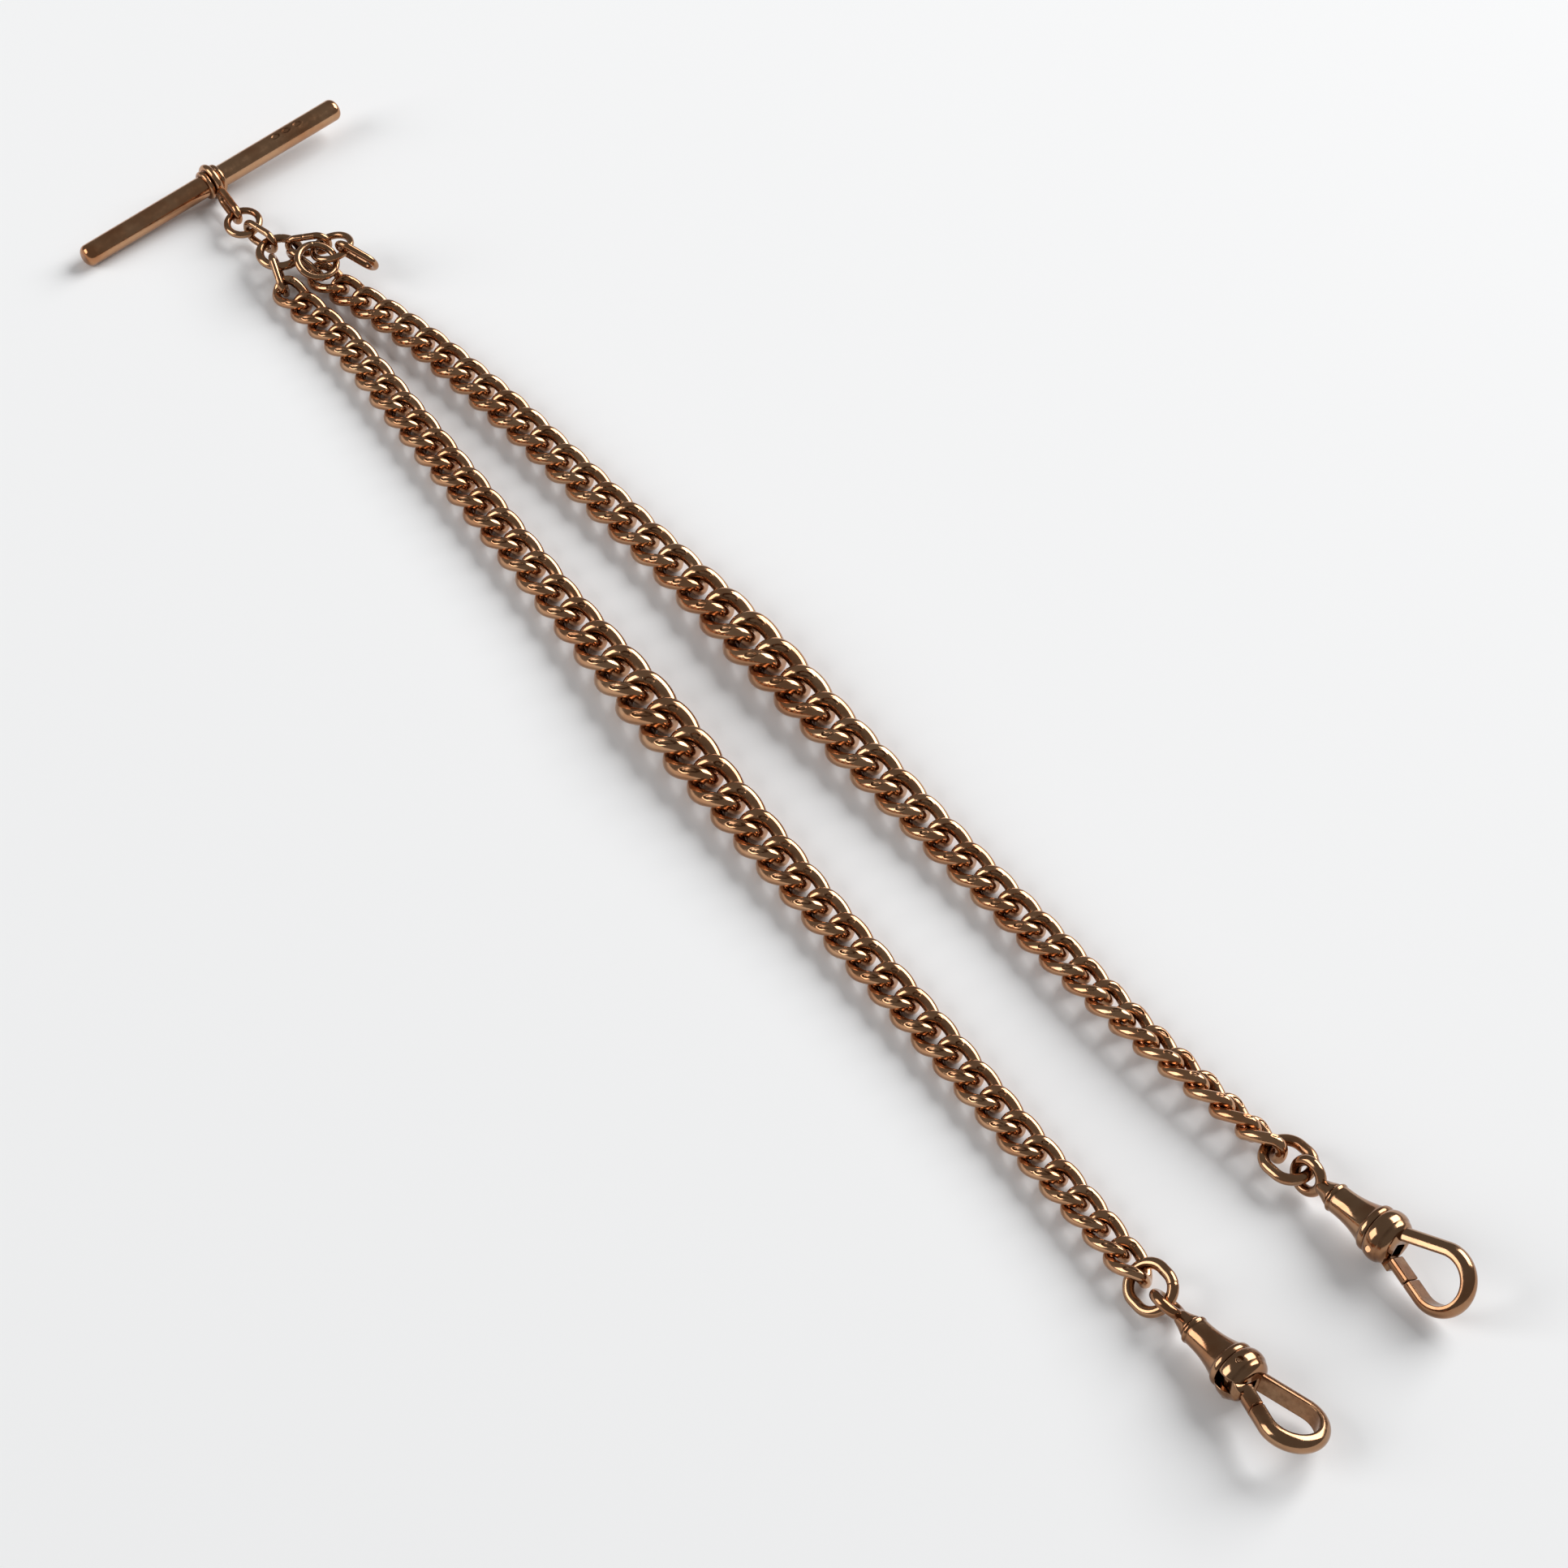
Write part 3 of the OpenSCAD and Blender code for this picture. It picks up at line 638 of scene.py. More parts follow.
def set_inputs(tree, node, **inputs):
    """Sets a node's inputs by name: a socket is linked, anything else is a value."""
    for name, value in inputs.items():
        socket = node.inputs[name.replace("_", " ")]
        if isinstance(value, bpy.types.NodeSocket):
            tree.links.new(value, socket)
        else:
            socket.default_value = value


def add_node(tree, kind, **inputs):
    """A new shader node with its inputs set."""
    node = tree.nodes.new(f"ShaderNode{kind}")
    set_inputs(tree, node, **inputs)
    return node


def new_material(name):
    """An empty node material: its tree, its shader and the object coordinates."""
    material = bpy.data.materials.new(name)
    material.use_nodes = True
    tree = material.node_tree
    tree.nodes.clear()
    shader = add_node(tree, "BsdfPrincipled")
    add_node(tree, "OutputMaterial", Surface=shader.outputs["BSDF"])
    return material, tree, shader, add_node(tree, "TexCoord").outputs["Object"]


def noise(tree, coords, scale, detail=3.0, roughness=0.55):
    """A noise texture on given coordinates."""
    node = add_node(tree, "TexNoise", Vector=coords, Scale=scale, Detail=detail, Roughness=roughness)
    return node.outputs["Fac"]


def remap(tree, value, low, high, out_low, out_high):
    """A value carried from one range to another, held at both ends."""
    node = add_node(tree, "MapRange", Value=value, From_Min=low, From_Max=high, To_Min=out_low,
                    To_Max=out_high)
    return node.outputs["Result"]


def maths(tree, kind, a, b):
    """A maths node on a socket and a socket or number."""
    node = add_node(tree, "Math")
    node.operation = kind
    tree.links.new(a, node.inputs[0])
    if isinstance(b, bpy.types.NodeSocket):
        tree.links.new(b, node.inputs[1])
    else:
        node.inputs[1].default_value = b
    return node.outputs["Value"]


def blend_colour(tree, factor, a, b):
    """A mix of a colour or colour socket with a colour."""
    node = add_node(tree, "Mix")
    node.data_type = "RGBA"
    tree.links.new(factor, node.inputs["Factor"])
    first, second = [socket for socket in node.inputs if socket.type == "RGBA"]
    if isinstance(a, bpy.types.NodeSocket):
        tree.links.new(a, first)
    else:
        first.default_value = (*a, 1.0)
    second.default_value = (*b, 1.0)
    return next(socket for socket in node.outputs if socket.type == "RGBA")


def rose_gold(name, colours, warmth, polish, tone):
    """Polished rose gold, its colour scaled by a tone that paints shade on the piece: patches of deeper
    gold, painted shade with grime in crevices, hairline scratches, small dents.
    """
    material, tree, shader, coords = new_material(name)
    grime = add_node(tree, "Attribute")
    grime.attribute_name = "grime"
    patches = remap(tree, noise(tree, coords, 210.0), 0.38, 0.68, 0.0, warmth)
    # Tone scales both golds down: painted shade on this piece
    pale, deep = (tuple(tone * c for c in gold) for gold in (colours.gold, colours.gold_deep))
    gold = blend_colour(tree, patches, pale, deep)
    specks = remap(tree, noise(tree, coords, 1400.0, 5.0, 0.65), 0.36, 0.66, 0.25, 1.0)
    # Painted shade with grime: the attribute broken up by specks, which also roughens the gold below
    shade_and_dirt = maths(tree, "MULTIPLY", grime.outputs["Fac"], specks)
    scuffs = remap(tree, noise(tree, coords, 900.0, 6.0, 0.7), 0.35, 0.7, polish * 0.7, polish * 1.7)
    rough = maths(tree, "ADD", scuffs, maths(tree, "MULTIPLY", shade_and_dirt, 0.22))
    stretch = add_node(tree, "Mapping", Vector=coords, Scale=(1.0, 9.0, 5.0), Rotation=(0.3, 0.5, 0.9))
    hairlines = noise(tree, stretch.outputs["Vector"], 1100.0, 4.0, 0.7)
    dents = noise(tree, coords, 420.0, 2.0, 0.5)
    height = maths(tree, "ADD", maths(tree, "MULTIPLY", hairlines, 0.25), dents)
    bump = add_node(tree, "Bump", Strength=0.35, Distance=0.00004, Height=height)
    # Where the mask is, the gold turns to the dark colour: painted shade with grime
    set_inputs(tree, shader, Base_Color=blend_colour(tree, shade_and_dirt, gold, colours.grime), Roughness=rough,
               Normal=bump.outputs["Normal"], Metallic=1.0)
    return material


def spring_steel(name, colours):
    """Blued spring steel with drawn streaks."""
    material, tree, shader, coords = new_material(name)
    streaks = noise(tree, coords, 1800.0, 4.0)
    share = remap(tree, streaks, 0.3, 0.7, 0.0, 0.5)
    tone = blend_colour(tree, share, colours.steel, BLUED_STEEL)
    rough = remap(tree, streaks, 0.3, 0.7, 0.2, 0.4)
    set_inputs(tree, shader, Base_Color=tone, Roughness=rough, Metallic=1.0)
    return material


def finish_named(name, context):
    """The chain's finishes, each made once."""
    found = bpy.data.materials.get(name)
    if found:
        return found
    colours = context.scene.chain_colours
    if name == "blued_spring":
        return spring_steel(name, colours)
    warmth, gloss, tone = GOLDS[name]
    return rose_gold(name, colours, warmth, colours.polish * gloss, tone)


def ring_path(outer_d, wire, count=112):
    """Centre line of a round ring, and its length."""
    q = 2 * np.pi * np.arange(count) / count
    r = (outer_d - wire) / 2
    return r * np.column_stack((np.cos(q), np.sin(q), 0 * q)), 2 * np.pi * r


class CHAIN_OT_bar(Operator):
    """Makes the T-bar, its two bead collars and the swivel that turns between them"""

    bl_idname = "chain.bar"
    bl_label = "T-bar and Swivel"

    def execute(self, context):
        at = Layout(context.scene.chain_sizes)
        gold = finish_named("rose_gold_bar", context)
        make_object("bar", self.bar(at), gold, "bar", ["t_bar"])
        make_object("bead_collars", self.collars(at), gold, "bar", ["bar_collars"])
        make_object("swivel_with_eye", self.swivel(at), gold, "swivel", ["bar_swivel"])
        return {"FINISHED"}

    def bar(self, at):
        """Round bar with domed ends and a row of punched ovals."""
        half = at.bar_length / 2
        q = np.linspace(np.pi / 2, 0, 12)
        end_x = half - BAR_DOME + BAR_DOME * np.sin(q)
        end_r = at.bar_r - BAR_DOME + BAR_DOME * np.cos(q)
        body_x = np.linspace(half - BAR_DOME, -half + BAR_DOME, 260)[1:-1]
        x = np.concatenate(((half,), end_x, body_x, -end_x[::-1], (-half,)))
        r = np.concatenate(((0,), end_r, np.full(len(body_x), at.bar_r), end_r[::-1], (0,)))
        turns = 128
        around = -2 * np.pi * np.arange(turns) / turns
        turn = (around - BAR_MARK_ANGLE + np.pi) % (2 * np.pi) - np.pi
        marks = np.zeros((len(x), turns))
        shade_and_dirt = marks
        for centre in BAR_MARKS:
            dent, lines = punch((x - centre)[:, None], at.bar_r * turn[None], *BAR_MARK_SIZE)
            marks = marks + dent * (r > at.bar_r - 0.001)[:, None]
            # Painted shade with dirt just inside the wall of each punched oval
            shade_and_dirt = np.maximum(shade_and_dirt, BAR_MARK_SHADE_AND_DIRT * lines)
        bar = Surface()
        revolve(bar, x, r, at.bar_frame, turns, shade_and_dirt, marks)
        return bar

    def collars(self, at):
        """Two beads round the bar, with painted shade and grime along their feet."""
        collars = Surface()
        t = np.linspace(-np.pi / 2, np.pi / 2, 17)
        # Painted shade with grime, strongest at the feet of each bead where it meets the bar
        edge = np.clip(1 - np.cos(np.concatenate((t, t, t[:1]))) * 1.4, 0, 1)
        for side in (-1, 1):
            mid = side * (at.swivel_wire / 2 + FIT_GAP + at.collar_w / 2)
            bead_x = mid + at.collar_w / 2 * np.sin(t)
            bead_r = at.bar_r - 0.02 + (at.collar_rise + 0.02) * np.cos(t) ** 0.6
            ring_x = np.concatenate((bead_x, bead_x[::-1], bead_x[:1]))
            ring_r = np.concatenate((bead_r, np.full(len(t), at.bar_r - 0.1), bead_r[:1]))
            revolve(collars, ring_x, ring_r, at.bar_frame, 72, edge)
        return collars

    def swivel(self, at):
        """Ring round the bar, with a long eye soldered to it."""
        swivel = Surface()
        wire = at.swivel_wire
        standing = (at.bar_frame[0] @ turned((0, 90, 0)), at.bar_centre)
        wire_loop(swivel, *ring_path(2 * at.swivel_r, wire, 128), wire, standing, cols=36)
        start = at.swivel_r - wire / 2
        length = at.eye_reach - start
        way = turned((90, SWIVEL_DIP, SWIVEL_HEADING))
        eye = (way, at.bar_centre + way @ np.array((start + length / 2, 0, 0)))
        wire_loop(swivel, *oval_path(length, at.eye_width, wire, 144), wire, eye, cols=36)
        return swivel


class CHAIN_OT_rings(Operator):
    """Makes the jump ring, the centre ring, the oval connectors and the drop"""

    bl_idname = "chain.rings"
    bl_label = "Rings and Drop"

    def execute(self, context):
        at = Layout(context.scene.chain_sizes)
        gold = finish_named("rose_gold_rings", context)
        rounds = (
            ("jump_ring", at.jump_d, at.jump_wire, between(at.eye_inner, at.jump_end, JUMP_ROLL)),
            ("centre_ring", at.centre_d, at.centre_wire, (np.eye(3), at.centre_at)),
            ("drop_ring", at.drop_d, at.oval_wire, (turned(DROP_RING_TURN), at.drop_ring_at)),
            ("fob_ring", at.drop_d, at.oval_wire, (turned(FOB_RING_TURN), at.fob_ring_at)),
        )
        for name, outer, wire, frame in rounds:
            ring = Surface()
            wire_loop(ring, *ring_path(outer, wire, 160), wire, frame, SEAMS[name])
            make_object(f"{name}_wire", ring, gold, name, [name])
        ovals = (
            ("top_connector", between(at.jump_end, at.connector_end, UPRIGHT)),
            ("left_connector", between(at.left_hang, at.left_start, LEFT_CONNECTOR_ROLL)),
            ("right_connector", between(at.right_hang, at.right_start, RIGHT_CONNECTOR_ROLL)),
            ("drop_connector", between(at.drop_hang, at.drop_end, UPRIGHT)),
            ("fob_link", (turned(FOB_LINK_TURN), at.fob_link_at)),
        )
        path, total = oval_path(at.oval_length, at.oval_width, at.oval_wire, 168)
        for name, frame in ovals:
            oval = Surface()
            wire_loop(oval, path, total, at.oval_wire, frame, OVAL_SEAM)
            make_object(f"{name}_wire", oval, gold, name, [name])
        return {"FINISHED"}


def curb_link(at, side, i):
    """Points and painted shade with grime of link i: its wire wanders a little, and each rail has a punched
    oval.
    """
    rows, cols = LINK_GRID
    pitch, width, wire = at.link_sizes(i)
    path, share, length = curb_centreline(pitch, width, wire, at.play, rows)
    q = dense_angles(cols)
    wander = np.sin(6 * np.pi * share + 1.7 * i)[:, None] * np.cos(2 * q + i)[None]
    offset = WANDER * wire * wander
    shade_and_dirt = np.zeros(offset.shape)
    for (middle, face), stretch in zip(MARK_PLACES, MARK_LENGTHS[side]):
        run = ((share - middle + 0.5) % 1 - 0.5)[:, None] * length
        around = wire / 2 * ((q - face + np.pi) % (2 * np.pi) - np.pi)[None]
        dent, lines = punch(run, around, stretch * wire, MARK_WIDTH * wire, MARK_DEPTH * wire)
        offset = offset + dent
        # Painted shade with dirt just inside the wall of each punched oval
        shade_and_dirt = np.maximum(shade_and_dirt, lines)
    points, inside = sweep_wire(path, wire / 2, cols, 1.0, offset)
    return points, np.maximum(inside, MARK_SHADE_AND_DIRT * shade_and_dirt)


class CHAIN_OT_arms(Operator):
    """Makes the curb links of both arms, in groups of neighbours, each link its own closed wire"""

    bl_idname = "chain.arms"
    bl_label = "Curb Arms"

    def execute(self, context):
        at = Layout(context.scene.chain_sizes)
        gold = finish_named("rose_gold_links", context)
        for side in ("left", "right"):
            total = len(at.knots[side]) - 1
            for group in range(GROUPS):
                last = total if group == GROUPS - 1 else (group + 1) * GROUP_LINKS
                links = Surface()
                for i in range(group * GROUP_LINKS, last):
                    points, grime = curb_link(at, side, i)
                    links.add(points, at.link_frame(side, i), True, grime)
                node = f"{side}_links_{group + 1:02d}"
                make_object(f"{side}_curb_{group + 1:02d}", links, gold, node, [node])
        return {"FINISHED"}


class CHAIN_OT_end_links(Operator):
    """Makes the oval end link of each arm, which holds its clip"""

    bl_idname = "chain.end_links"
    bl_label = "End Links"

    def execute(self, context):
        at = Layout(context.scene.chain_sizes)
        gold = finish_named("rose_gold_rings", context)
        path, total = oval_path(at.end_length, at.end_width, at.end_wire, 176)
        for side, clip in CLIPS.items():
            link = Surface()
            frame = between(at.knots[side][-1], at.end_hang(side), clip["end_roll"])
            wire_loop(link, path, total, at.end_wire, frame, END_SEAM, 36)
            make_object(f"{side}_end_wire", link, gold, f"{side}_end_link", [f"{side}_end_link"])
        return {"FINISHED"}


def hook_section(at, count=40):
    """The hook's D section as (outward, across): an arc as wide as the band on a flat, eased."""
    r = at.hook_band / 2
    centre = at.hook_thick - r
    reach = np.pi - np.arccos(centre / r)
    q = np.linspace(-reach, reach, count)
    arc = np.column_stack((centre + r * np.cos(q), r * np.sin(q)))
    flat = np.linspace(arc[-1], arc[0], 12)[1:-1]
    ring = np.vstack((arc, flat))
    for _ in range(2):
        ahead = np.roll(ring, -1, 0)
        ring = np.stack((0.75 * ring + 0.25 * ahead, 0.25 * ring + 0.75 * ahead), axis=1).reshape(-1, 2)
    return ring[::2]


def band_sweep(surface, path, outward, section, frame, plane, grime):
    """A section carried along an open path in the loop's plane: point + o outward + c across.

    The last rings slide along the path onto a plane, and the two rings at each end are drawn in a little,
    so the ends have eased edges.
    """
    tangent = unit(np.gradient(path, axis=0))
    tangent[-1] = tangent[-2]
    middle = section.mean(axis=0)
    scale = np.ones(len(path))
    scale[[0, -1]] = 0.86
    scale[[1, -2]] = 0.965
    rings = middle + (section - middle)[None] * scale[:, None, None]
    points = path[:, None] + rings[..., :1] * outward[:, None] + rings[..., 1:] * np.array((0.0, 0.0, 1.0))
    at, normal = plane
    slide = (((at - points[-1]) @ normal) / (tangent[-1] @ normal))[:, None] * tangent[-1]
    points[-1] += slide
    points[-2] += slide
    points[-3] += 0.7 * slide
    surface.add(points, frame, False, grime, caps=True)


def eased(start, stop, count):
    """Even steps from start to stop, with two extra close to each end for an eased edge."""
    span = stop - start
    near = np.array((0.0, 0.04, 0.14))
    inner = np.linspace(0.14, span - 0.14, count)[1:-1]
    return start + np.concatenate((near, inner, span - near[::-1]))


def loop_angles(at):
    """Angle of the loop's straight legs to the clip's axis, and their length, from root to bend."""
    dx = LOOP_AT - LOOP_ROOT[0]
    reach = np.hypot(dx, LOOP_ROOT[1])
    angle = np.arcsin(at.hook_inner_r / reach) - np.arctan2(LOOP_ROOT[1], dx)
    return angle, np.sqrt(reach ** 2 - at.hook_inner_r ** 2)


def joint_plane(angle, shift):
    """Point and normal of the slanted joint between the gate's tip and the hook's end."""
    tip = np.array((LOOP_ROOT[0] + GATE_END * np.cos(angle), -LOOP_ROOT[1] - GATE_END * np.sin(angle), 0.0))
    slant = np.radians(JOINT_ANGLE)
    normal = np.array((np.cos(slant), -np.sin(slant), 0.0))
    return tip + shift * normal, normal


def leg_lines(angle):
    """Root of the loop's leg on the hook's side, the way along it and its outward side, as three rows."""
    c, s = np.cos(angle), np.sin(angle)
    return np.array(((*LOOP_ROOT, 0.0), (c, s, 0.0), (-s, c, 0.0)))


def pin_frame(frame):
    """Frame of the gate's pin, with X along it."""
    rotation, origin = frame
    return rotation @ turned((0, 90, 0)), origin + rotation @ np.array((*PIN_AT, 0.0))


def rounded_box(low, high):
    """A box with eased long edges: a squared circle |y|^6 + |z|^6 = 1 carried along X, ends closed."""
    low, high = np.asarray(low, float), np.asarray(high, float)
    q = 2 * np.pi * np.arange(48) / 48
    squared = np.column_stack((np.sign(np.cos(q)) * np.abs(np.cos(q)) ** (1 / 6),
                               np.sign(np.sin(q)) * np.abs(np.sin(q)) ** (1 / 6)))
    half, middle = (high - low) / 2, (high + low) / 2
    x = np.array((low[0], low[0], high[0], high[0]))
    size = np.array((0, 1, 1, 0))
    y = middle[1] + half[1] * size[:, None] * squared[None, :, 0]
    z = middle[2] + half[2] * size[:, None] * squared[None, :, 1]
    points = np.stack((np.broadcast_to(x[:, None], y.shape), y, z), axis=-1)
    box = Surface()
    # Painted shade with grime at 0.5 over the whole box
    box.add(points, NO_MOVE, False, 0.5)
    return box


def cut(piece, surface, frame):
    """Cuts a closed surface out of a piece with an exact boolean, applied to its mesh."""
    surface.carried(frame)
    mesh = bpy.data.meshes.new("cutter")
    mesh.from_pydata(np.concatenate(surface.points) * MM, [], np.concatenate(surface.quads).tolist())
    weld(mesh)
    cutter = bpy.data.objects.new("cutter", mesh)
    bpy.context.scene.collection.objects.link(cutter)
    modifier = piece.modifiers.new("slot", "BOOLEAN")
    modifier.operation = "DIFFERENCE"
    modifier.solver = "EXACT"
    modifier.object = cutter
    shown = bpy.context.evaluated_depsgraph_get()
    result = bpy.data.meshes.new_from_object(piece.evaluated_get(shown))
    piece.modifiers.remove(modifier)
    old = piece.data
    result.name = old.name
    piece.data = result
    bpy.data.meshes.remove(old)
    bpy.data.objects.remove(cutter)
    bpy.data.meshes.remove(mesh)


class CHAIN_OT_clips(Operator):
    """Makes the two swivel clips: eye, barrel, hook and gate"""

    bl_idname = "chain.clips"
    bl_label = "Swivel Clips"

    def execute(self, context):
        at = Layout(context.scene.chain_sizes)
        gold = finish_named("rose_gold_clips", context)
        angle, leg = loop_angles(at)
        section = hook_section(at)
        # Painted shade with grime on the inner face of the hook's and gate's band
        inner = np.clip(0.9 - section[:, 0] * 2.2, 0, 1)[None] * 0.5
        for side in CLIPS:
            body = f"{side}_clip"
            frame = at.clip_frame(side, "clip_roll")
            eye = self.eye(at, at.clip_frame(side, "eye_roll"))
            make_object(f"{side}_eye", eye, gold, f"{body}_eye", [f"{body}_eye"])
            barrel = self.barrel(at, frame)
            piece = make_object(f"{side}_barrel", barrel, gold, body, [f"{body}_barrel"])
            self.slot_and_hole(at, piece, frame)
            hook = self.hook(at, angle, leg, section, frame, inner)
            make_object(f"{side}_hook", hook, gold, body, [f"{body}_hook"])
            gate = self.gate(angle, section, frame, inner)
            make_object(f"{side}_gate", gate, gold, f"{body}_gate", [f"{body}_gate"])
        return {"FINISHED"}

    def eye(self, at, frame):
        """Ring of the swivel eye, its waisted base and the stem with its riveted head."""
        eye = Surface()
        rotation, origin = frame
        back = (at.clip_eye_d - at.clip_eye_wire) / 2 + CLIP_NECK
        ring = (rotation, origin - back * rotation[:, 0])
        wire_loop(eye, *ring_path(at.clip_eye_d, at.clip_eye_wire, 144), at.clip_eye_wire, ring, None, 40)
        x, r = smooth_profile(EYE_STEM).T
        # Painted shade with grime in a band at the step at the eye's neck
        shade_and_dirt = np.clip(1 - np.abs(x + 0.05) / 0.25, 0, 1)
        revolve(eye, x, r, frame, 72, shade_and_dirt)
        return eye

    def barrel(self, at, frame):
        """Barrel turned from its profile: neck, flared body, ring, bead and dome, with painted shade and
        grime in its grooves.
        """
        f = np.linspace(0, 1, 30)
        flare = np.column_stack((0.8 + 4.8 * f, 1.62 + 0.86 * f ** 2.2))
        q = np.radians(np.linspace(-62, 62, 25))
        bead = np.column_stack((BEAD_AT + 1.05 * np.sin(q), at.bead_d / 2 - 0.5 + 0.5 * np.cos(q)))
        d = np.radians(np.linspace(12, 82, 18))
        dome = np.column_stack((DOME_AT + (at.barrel_length - DOME_AT) * np.sin(d), 1.2 + 1.5 * np.cos(d)))
        mouth = ((at.barrel_length, 1.1), (at.barrel_length, 0))
        x, r = np.vstack((BARREL_NECK, flare, BARREL_RING, bead, dome, mouth)).T
        nearest = np.min(np.abs(x[:, None] - np.array(BARREL_GROOVES)), axis=1)
        barrel = Surface()
        # Painted shade with grime in the grooves
        revolve(barrel, x, r, frame, 96, 0.85 * np.clip(1 - nearest / 0.22, 0, 1))
        return barrel

    def slot_and_hole(self, at, piece, frame):
        """Cuts the gate's slot and the hole for its pin in the barrel."""
        half = KNUCKLE_W / 2 + FIT_GAP
        cut(piece, rounded_box((SLOT_FROM, -at.bead_d, -half), (SLOT_TO, SLOT_TOP, half)), frame)
        pin = Surface()
        r = PIN_R + PIN_GAP
        revolve(pin, (-HOLE_HALF, -HOLE_HALF, HOLE_HALF, HOLE_HALF), (0, r, r, 0), pin_frame(frame), 32)
        cut(piece, pin, NO_MOVE)

    def hook(self, at, angle, leg, section, frame, inner):
        """The fixed side of the loop: a straight leg, the bend and the short tail that the gate meets."""
        root, way, rise = leg_lines(angle)
        first = root + eased(0, leg, 40)[:-3, None] * way
        turn = np.linspace(np.pi / 2 + angle, -np.pi / 2 - angle, 96)
        radial = np.column_stack((np.cos(turn), np.sin(turn), 0 * turn))
        bend = np.array((LOOP_AT, 0.0, 0.0)) + at.hook_inner_r * radial
        root, way, fall = leg_lines(angle) * MIRRORED
        tail_s = np.append(np.linspace(leg, GATE_END + 0.14, 14)[1:], (GATE_END + 0.04, GATE_END))
        tail = root + tail_s[:, None] * way
        outward = np.vstack((np.tile(rise, (len(first), 1)), radial, np.tile(fall, (len(tail), 1))))
        hook = Surface()
        plane = joint_plane(angle, JOINT_GAP / 2)
        band_sweep(hook, np.vstack((first, bend, tail)), outward, section, frame, plane, inner)
        return hook

    def gate(self, angle, section, frame, inner):
        """The gate: its blade, its round knuckle on the pin, and the tongue that joins them."""
        root, way, fall = leg_lines(angle) * MIRRORED
        s = eased(GATE_START + GATE_EASE, GATE_END, 40)
        gate = Surface()
        plane = joint_plane(angle, -JOINT_GAP / 2)
        band_sweep(gate, root + s[:, None] * way, np.tile(fall, (len(s), 1)), section, frame, plane, inner)
        w = KNUCKLE_W / 2
        x = (-w, -w, KNUCKLE_EDGE - w, w - KNUCKLE_EDGE, w, w)
        low = KNUCKLE_R - KNUCKLE_EDGE
        # Painted shade with grime at 0.6 over the whole knuckle
        revolve(gate, x, (0, low, KNUCKLE_R, KNUCKLE_R, low, 0), pin_frame(frame), 40, 0.6)
        tongue = rounded_box((*TONGUE[0], -w), (*TONGUE[1], w))
        local = (turned((0, 0, -np.degrees(angle))), np.array((*PIN_AT, 0.0)))
        gate.join(tongue.carried(local).carried(frame))
        return gate


class CHAIN_OT_springs(Operator):
    """Gives the gate pins and leaf springs inside the barrels their finishes"""

    bl_idname = "chain.springs"
    bl_label = "Pins and Springs"

    def execute(self, context):
        for side in CLIPS:
            for part, finish in (("gate_pin", "rose_gold_clips"), ("gate_spring", "blued_spring")):
                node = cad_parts[f"{side}_clip_{part}"]
                node.data.materials.clear()
                node.data.materials.append(finish_named(finish, context))
        return {"FINISHED"}


def table_material(colour):
    """Pale matt table with the faintest mottling."""
    material, tree, shader, coords = new_material("pale_table")
    mottle = remap(tree, noise(tree, coords, 14.0, 2.0), 0.3, 0.7, 0.0, 0.05)
    tone = blend_colour(tree, mottle, colour, [0.97 * c for c in colour])
    set_inputs(tree, shader, Base_Color=tone, Roughness=0.9, Specular_IOR_Level=0.1)
    return material


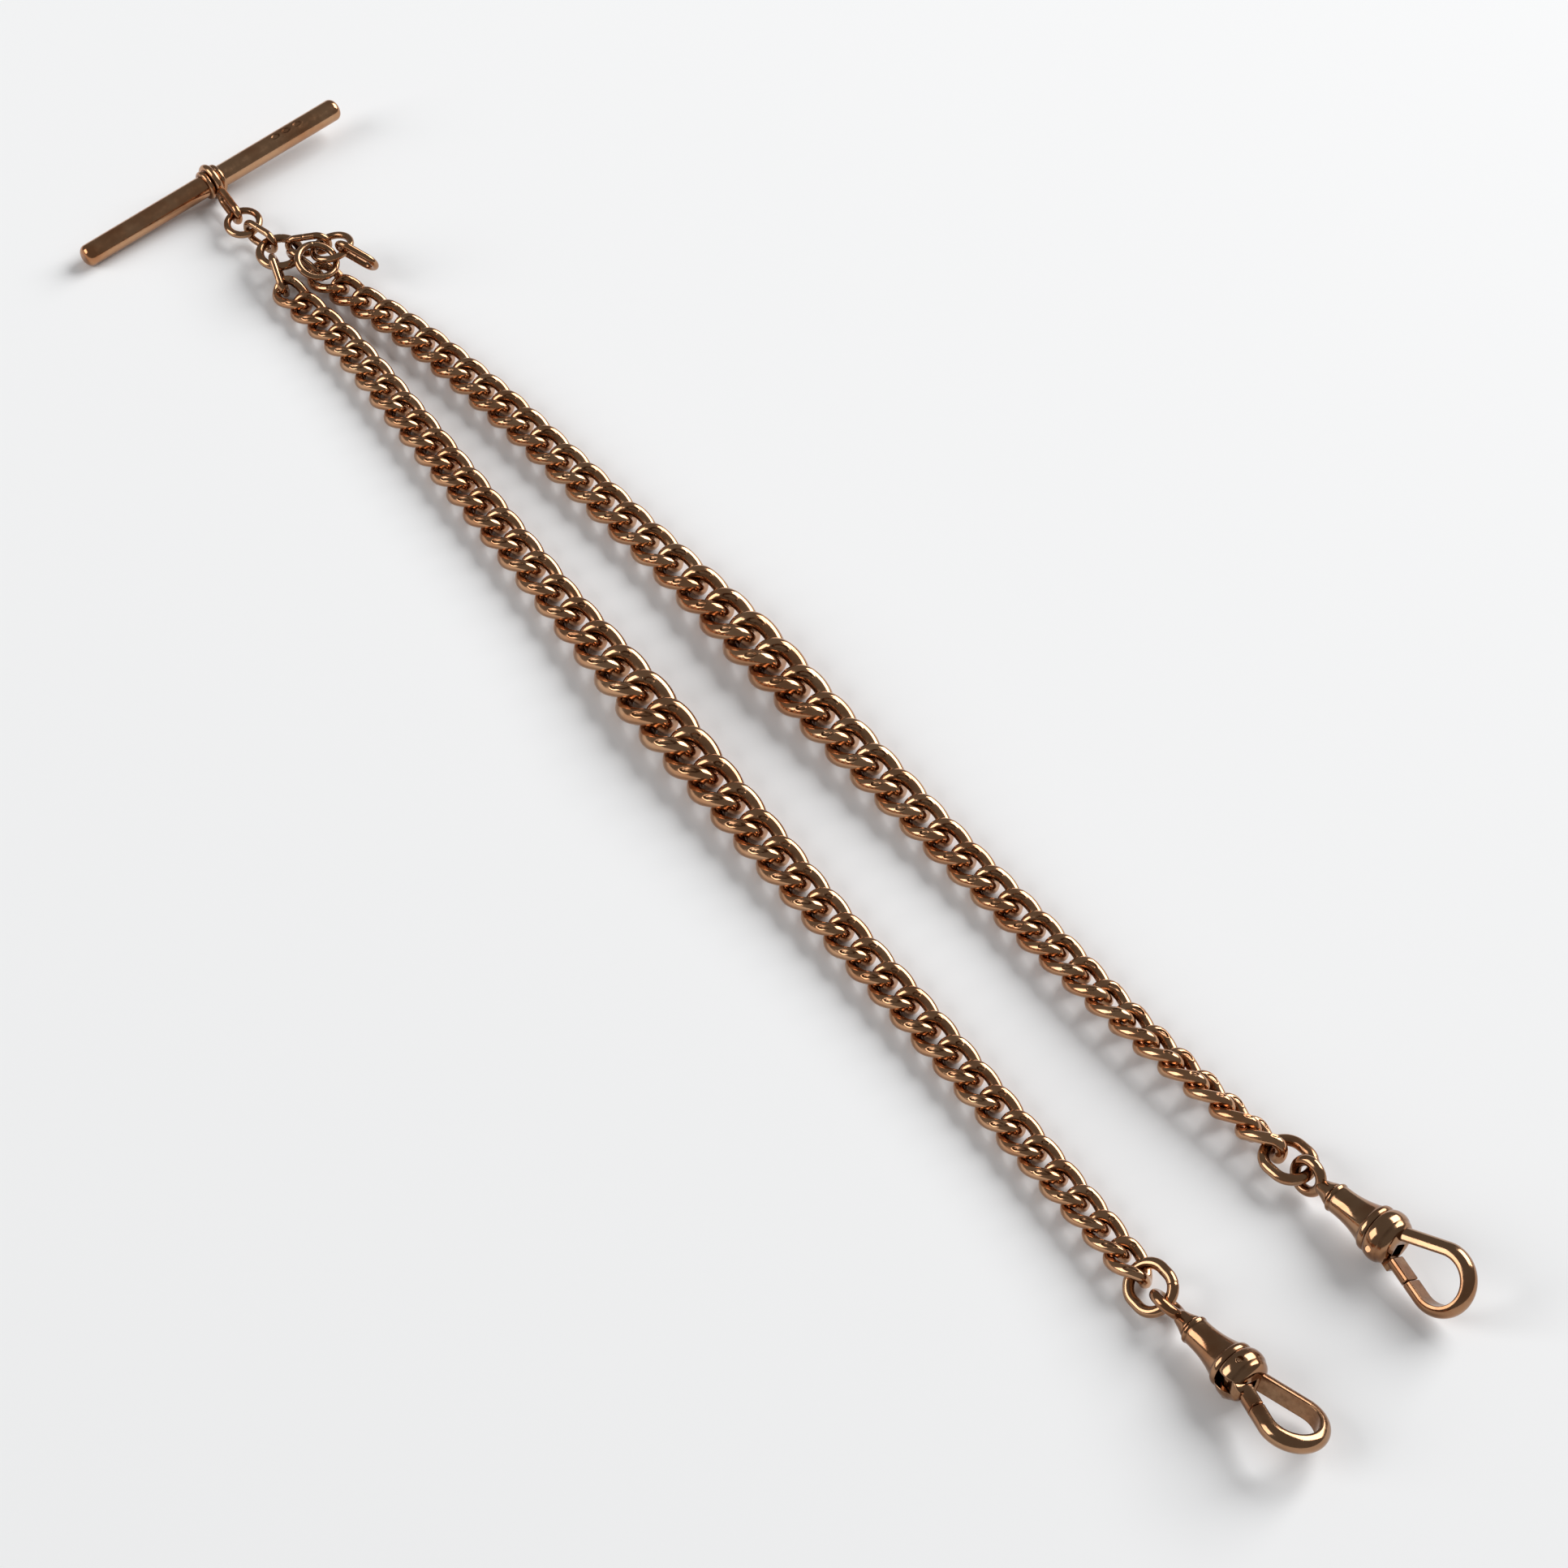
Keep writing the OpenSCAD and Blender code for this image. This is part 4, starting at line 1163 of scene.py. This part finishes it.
class CHAIN_OT_stage(Operator):
    """Makes the table, the soft lamps, the world and the photograph's camera"""

    bl_idname = "chain.stage"
    bl_label = "Stage"

    def execute(self, context):
        scene = context.scene
        scene.view_settings.view_transform = "Standard"
        target = np.array(CAMERA_TARGET)
        a, e = np.radians((CAMERA_AZIMUTH, CAMERA_HEIGHT_ANGLE))
        toward = np.array((np.cos(a), np.sin(a), 0.0))
        right = np.array((-np.sin(a), np.cos(a), 0.0))
        up = np.array((0.0, 0.0, 1.0))
        eye = target + CAMERA_DISTANCE * (np.cos(e) * toward + np.sin(e) * up)
        camera = bpy.data.cameras.new("photo_camera")
        camera.lens = CAMERA_LENS
        camera.sensor_width = SENSOR_WIDTH
        camera.clip_end = 20.0
        self.look(scene, bpy.data.objects.new("photo_camera", camera), eye, target)
        scene.camera = bpy.data.objects["photo_camera"]
        mesh = bpy.data.meshes.new("table")
        corners = np.array(((-1, -1), (1, -1), (1, 1), (-1, 1))) * TABLE_HALF * MM
        mesh.from_pydata(np.column_stack((corners, np.zeros(4))), [], [(0, 1, 2, 3)])
        mesh.materials.append(table_material(scene.chain_colours.floor))
        table = bpy.data.objects.new("table", mesh)
        scene.collection.objects.link(table)
        for name, (place, size, power) in LAMPS.items():
            lamp = bpy.data.lights.new(name, "AREA")
            lamp.shape = "RECTANGLE"
            lamp.size, lamp.size_y = (side * MM for side in size)
            lamp.energy = power
            offset = np.array(place) @ np.array((right, toward, up))
            self.look(scene, bpy.data.objects.new(name, lamp), target + offset, target)
        world = bpy.data.worlds.new("studio")
        world.use_nodes = True
        sky = world.node_tree.nodes["Background"]
        sky.inputs["Color"].default_value = (1.0, 1.0, 1.0, 1.0)
        sky.inputs["Strength"].default_value = WORLD_LIGHT
        scene.world = world
        return {"FINISHED"}

    def look(self, scene, thing, eye, target):
        """Links a lamp or camera and points it at a target."""
        scene.collection.objects.link(thing)
        thing.location = eye * MM
        thing.rotation_euler = Vector(target - eye).to_track_quat("-Z", "Y").to_euler()


STEPS = (CHAIN_OT_bar, CHAIN_OT_rings, CHAIN_OT_arms, CHAIN_OT_end_links, CHAIN_OT_clips, CHAIN_OT_springs,
         CHAIN_OT_stage)


class CHAIN_PT_panel(Panel):
    """Lists the chain's pieces, sizes and finishes"""

    bl_idname = "CHAIN_PT_panel"
    bl_label = "Watch Chain"
    bl_space_type = "VIEW_3D"
    bl_region_type = "UI"
    bl_category = "Watch Chain"

    def draw(self, context):
        for step in STEPS:
            self.layout.operator(step.bl_idname)
        for group in (context.scene.chain_sizes, context.scene.chain_colours):
            box = self.layout.box()
            for name in group.__annotations__:
                box.prop(group, name)


CLASSES = (ChainSizes, ChainColours, *STEPS, CHAIN_PT_panel)


def register():
    for cls in CLASSES:
        bpy.utils.register_class(cls)
    bpy.types.Scene.chain_sizes = PointerProperty(type=ChainSizes)
    bpy.types.Scene.chain_colours = PointerProperty(type=ChainColours)


def unregister():
    del bpy.types.Scene.chain_colours
    del bpy.types.Scene.chain_sizes
    for cls in reversed(CLASSES):
        bpy.utils.unregister_class(cls)


def main():
    """Builds every piece in order."""
    register()
    bpy.ops.chain.bar()
    bpy.ops.chain.rings()
    bpy.ops.chain.arms()
    bpy.ops.chain.end_links()
    bpy.ops.chain.clips()
    bpy.ops.chain.springs()
    bpy.ops.chain.stage()


if __name__ == "__main__":
    main()
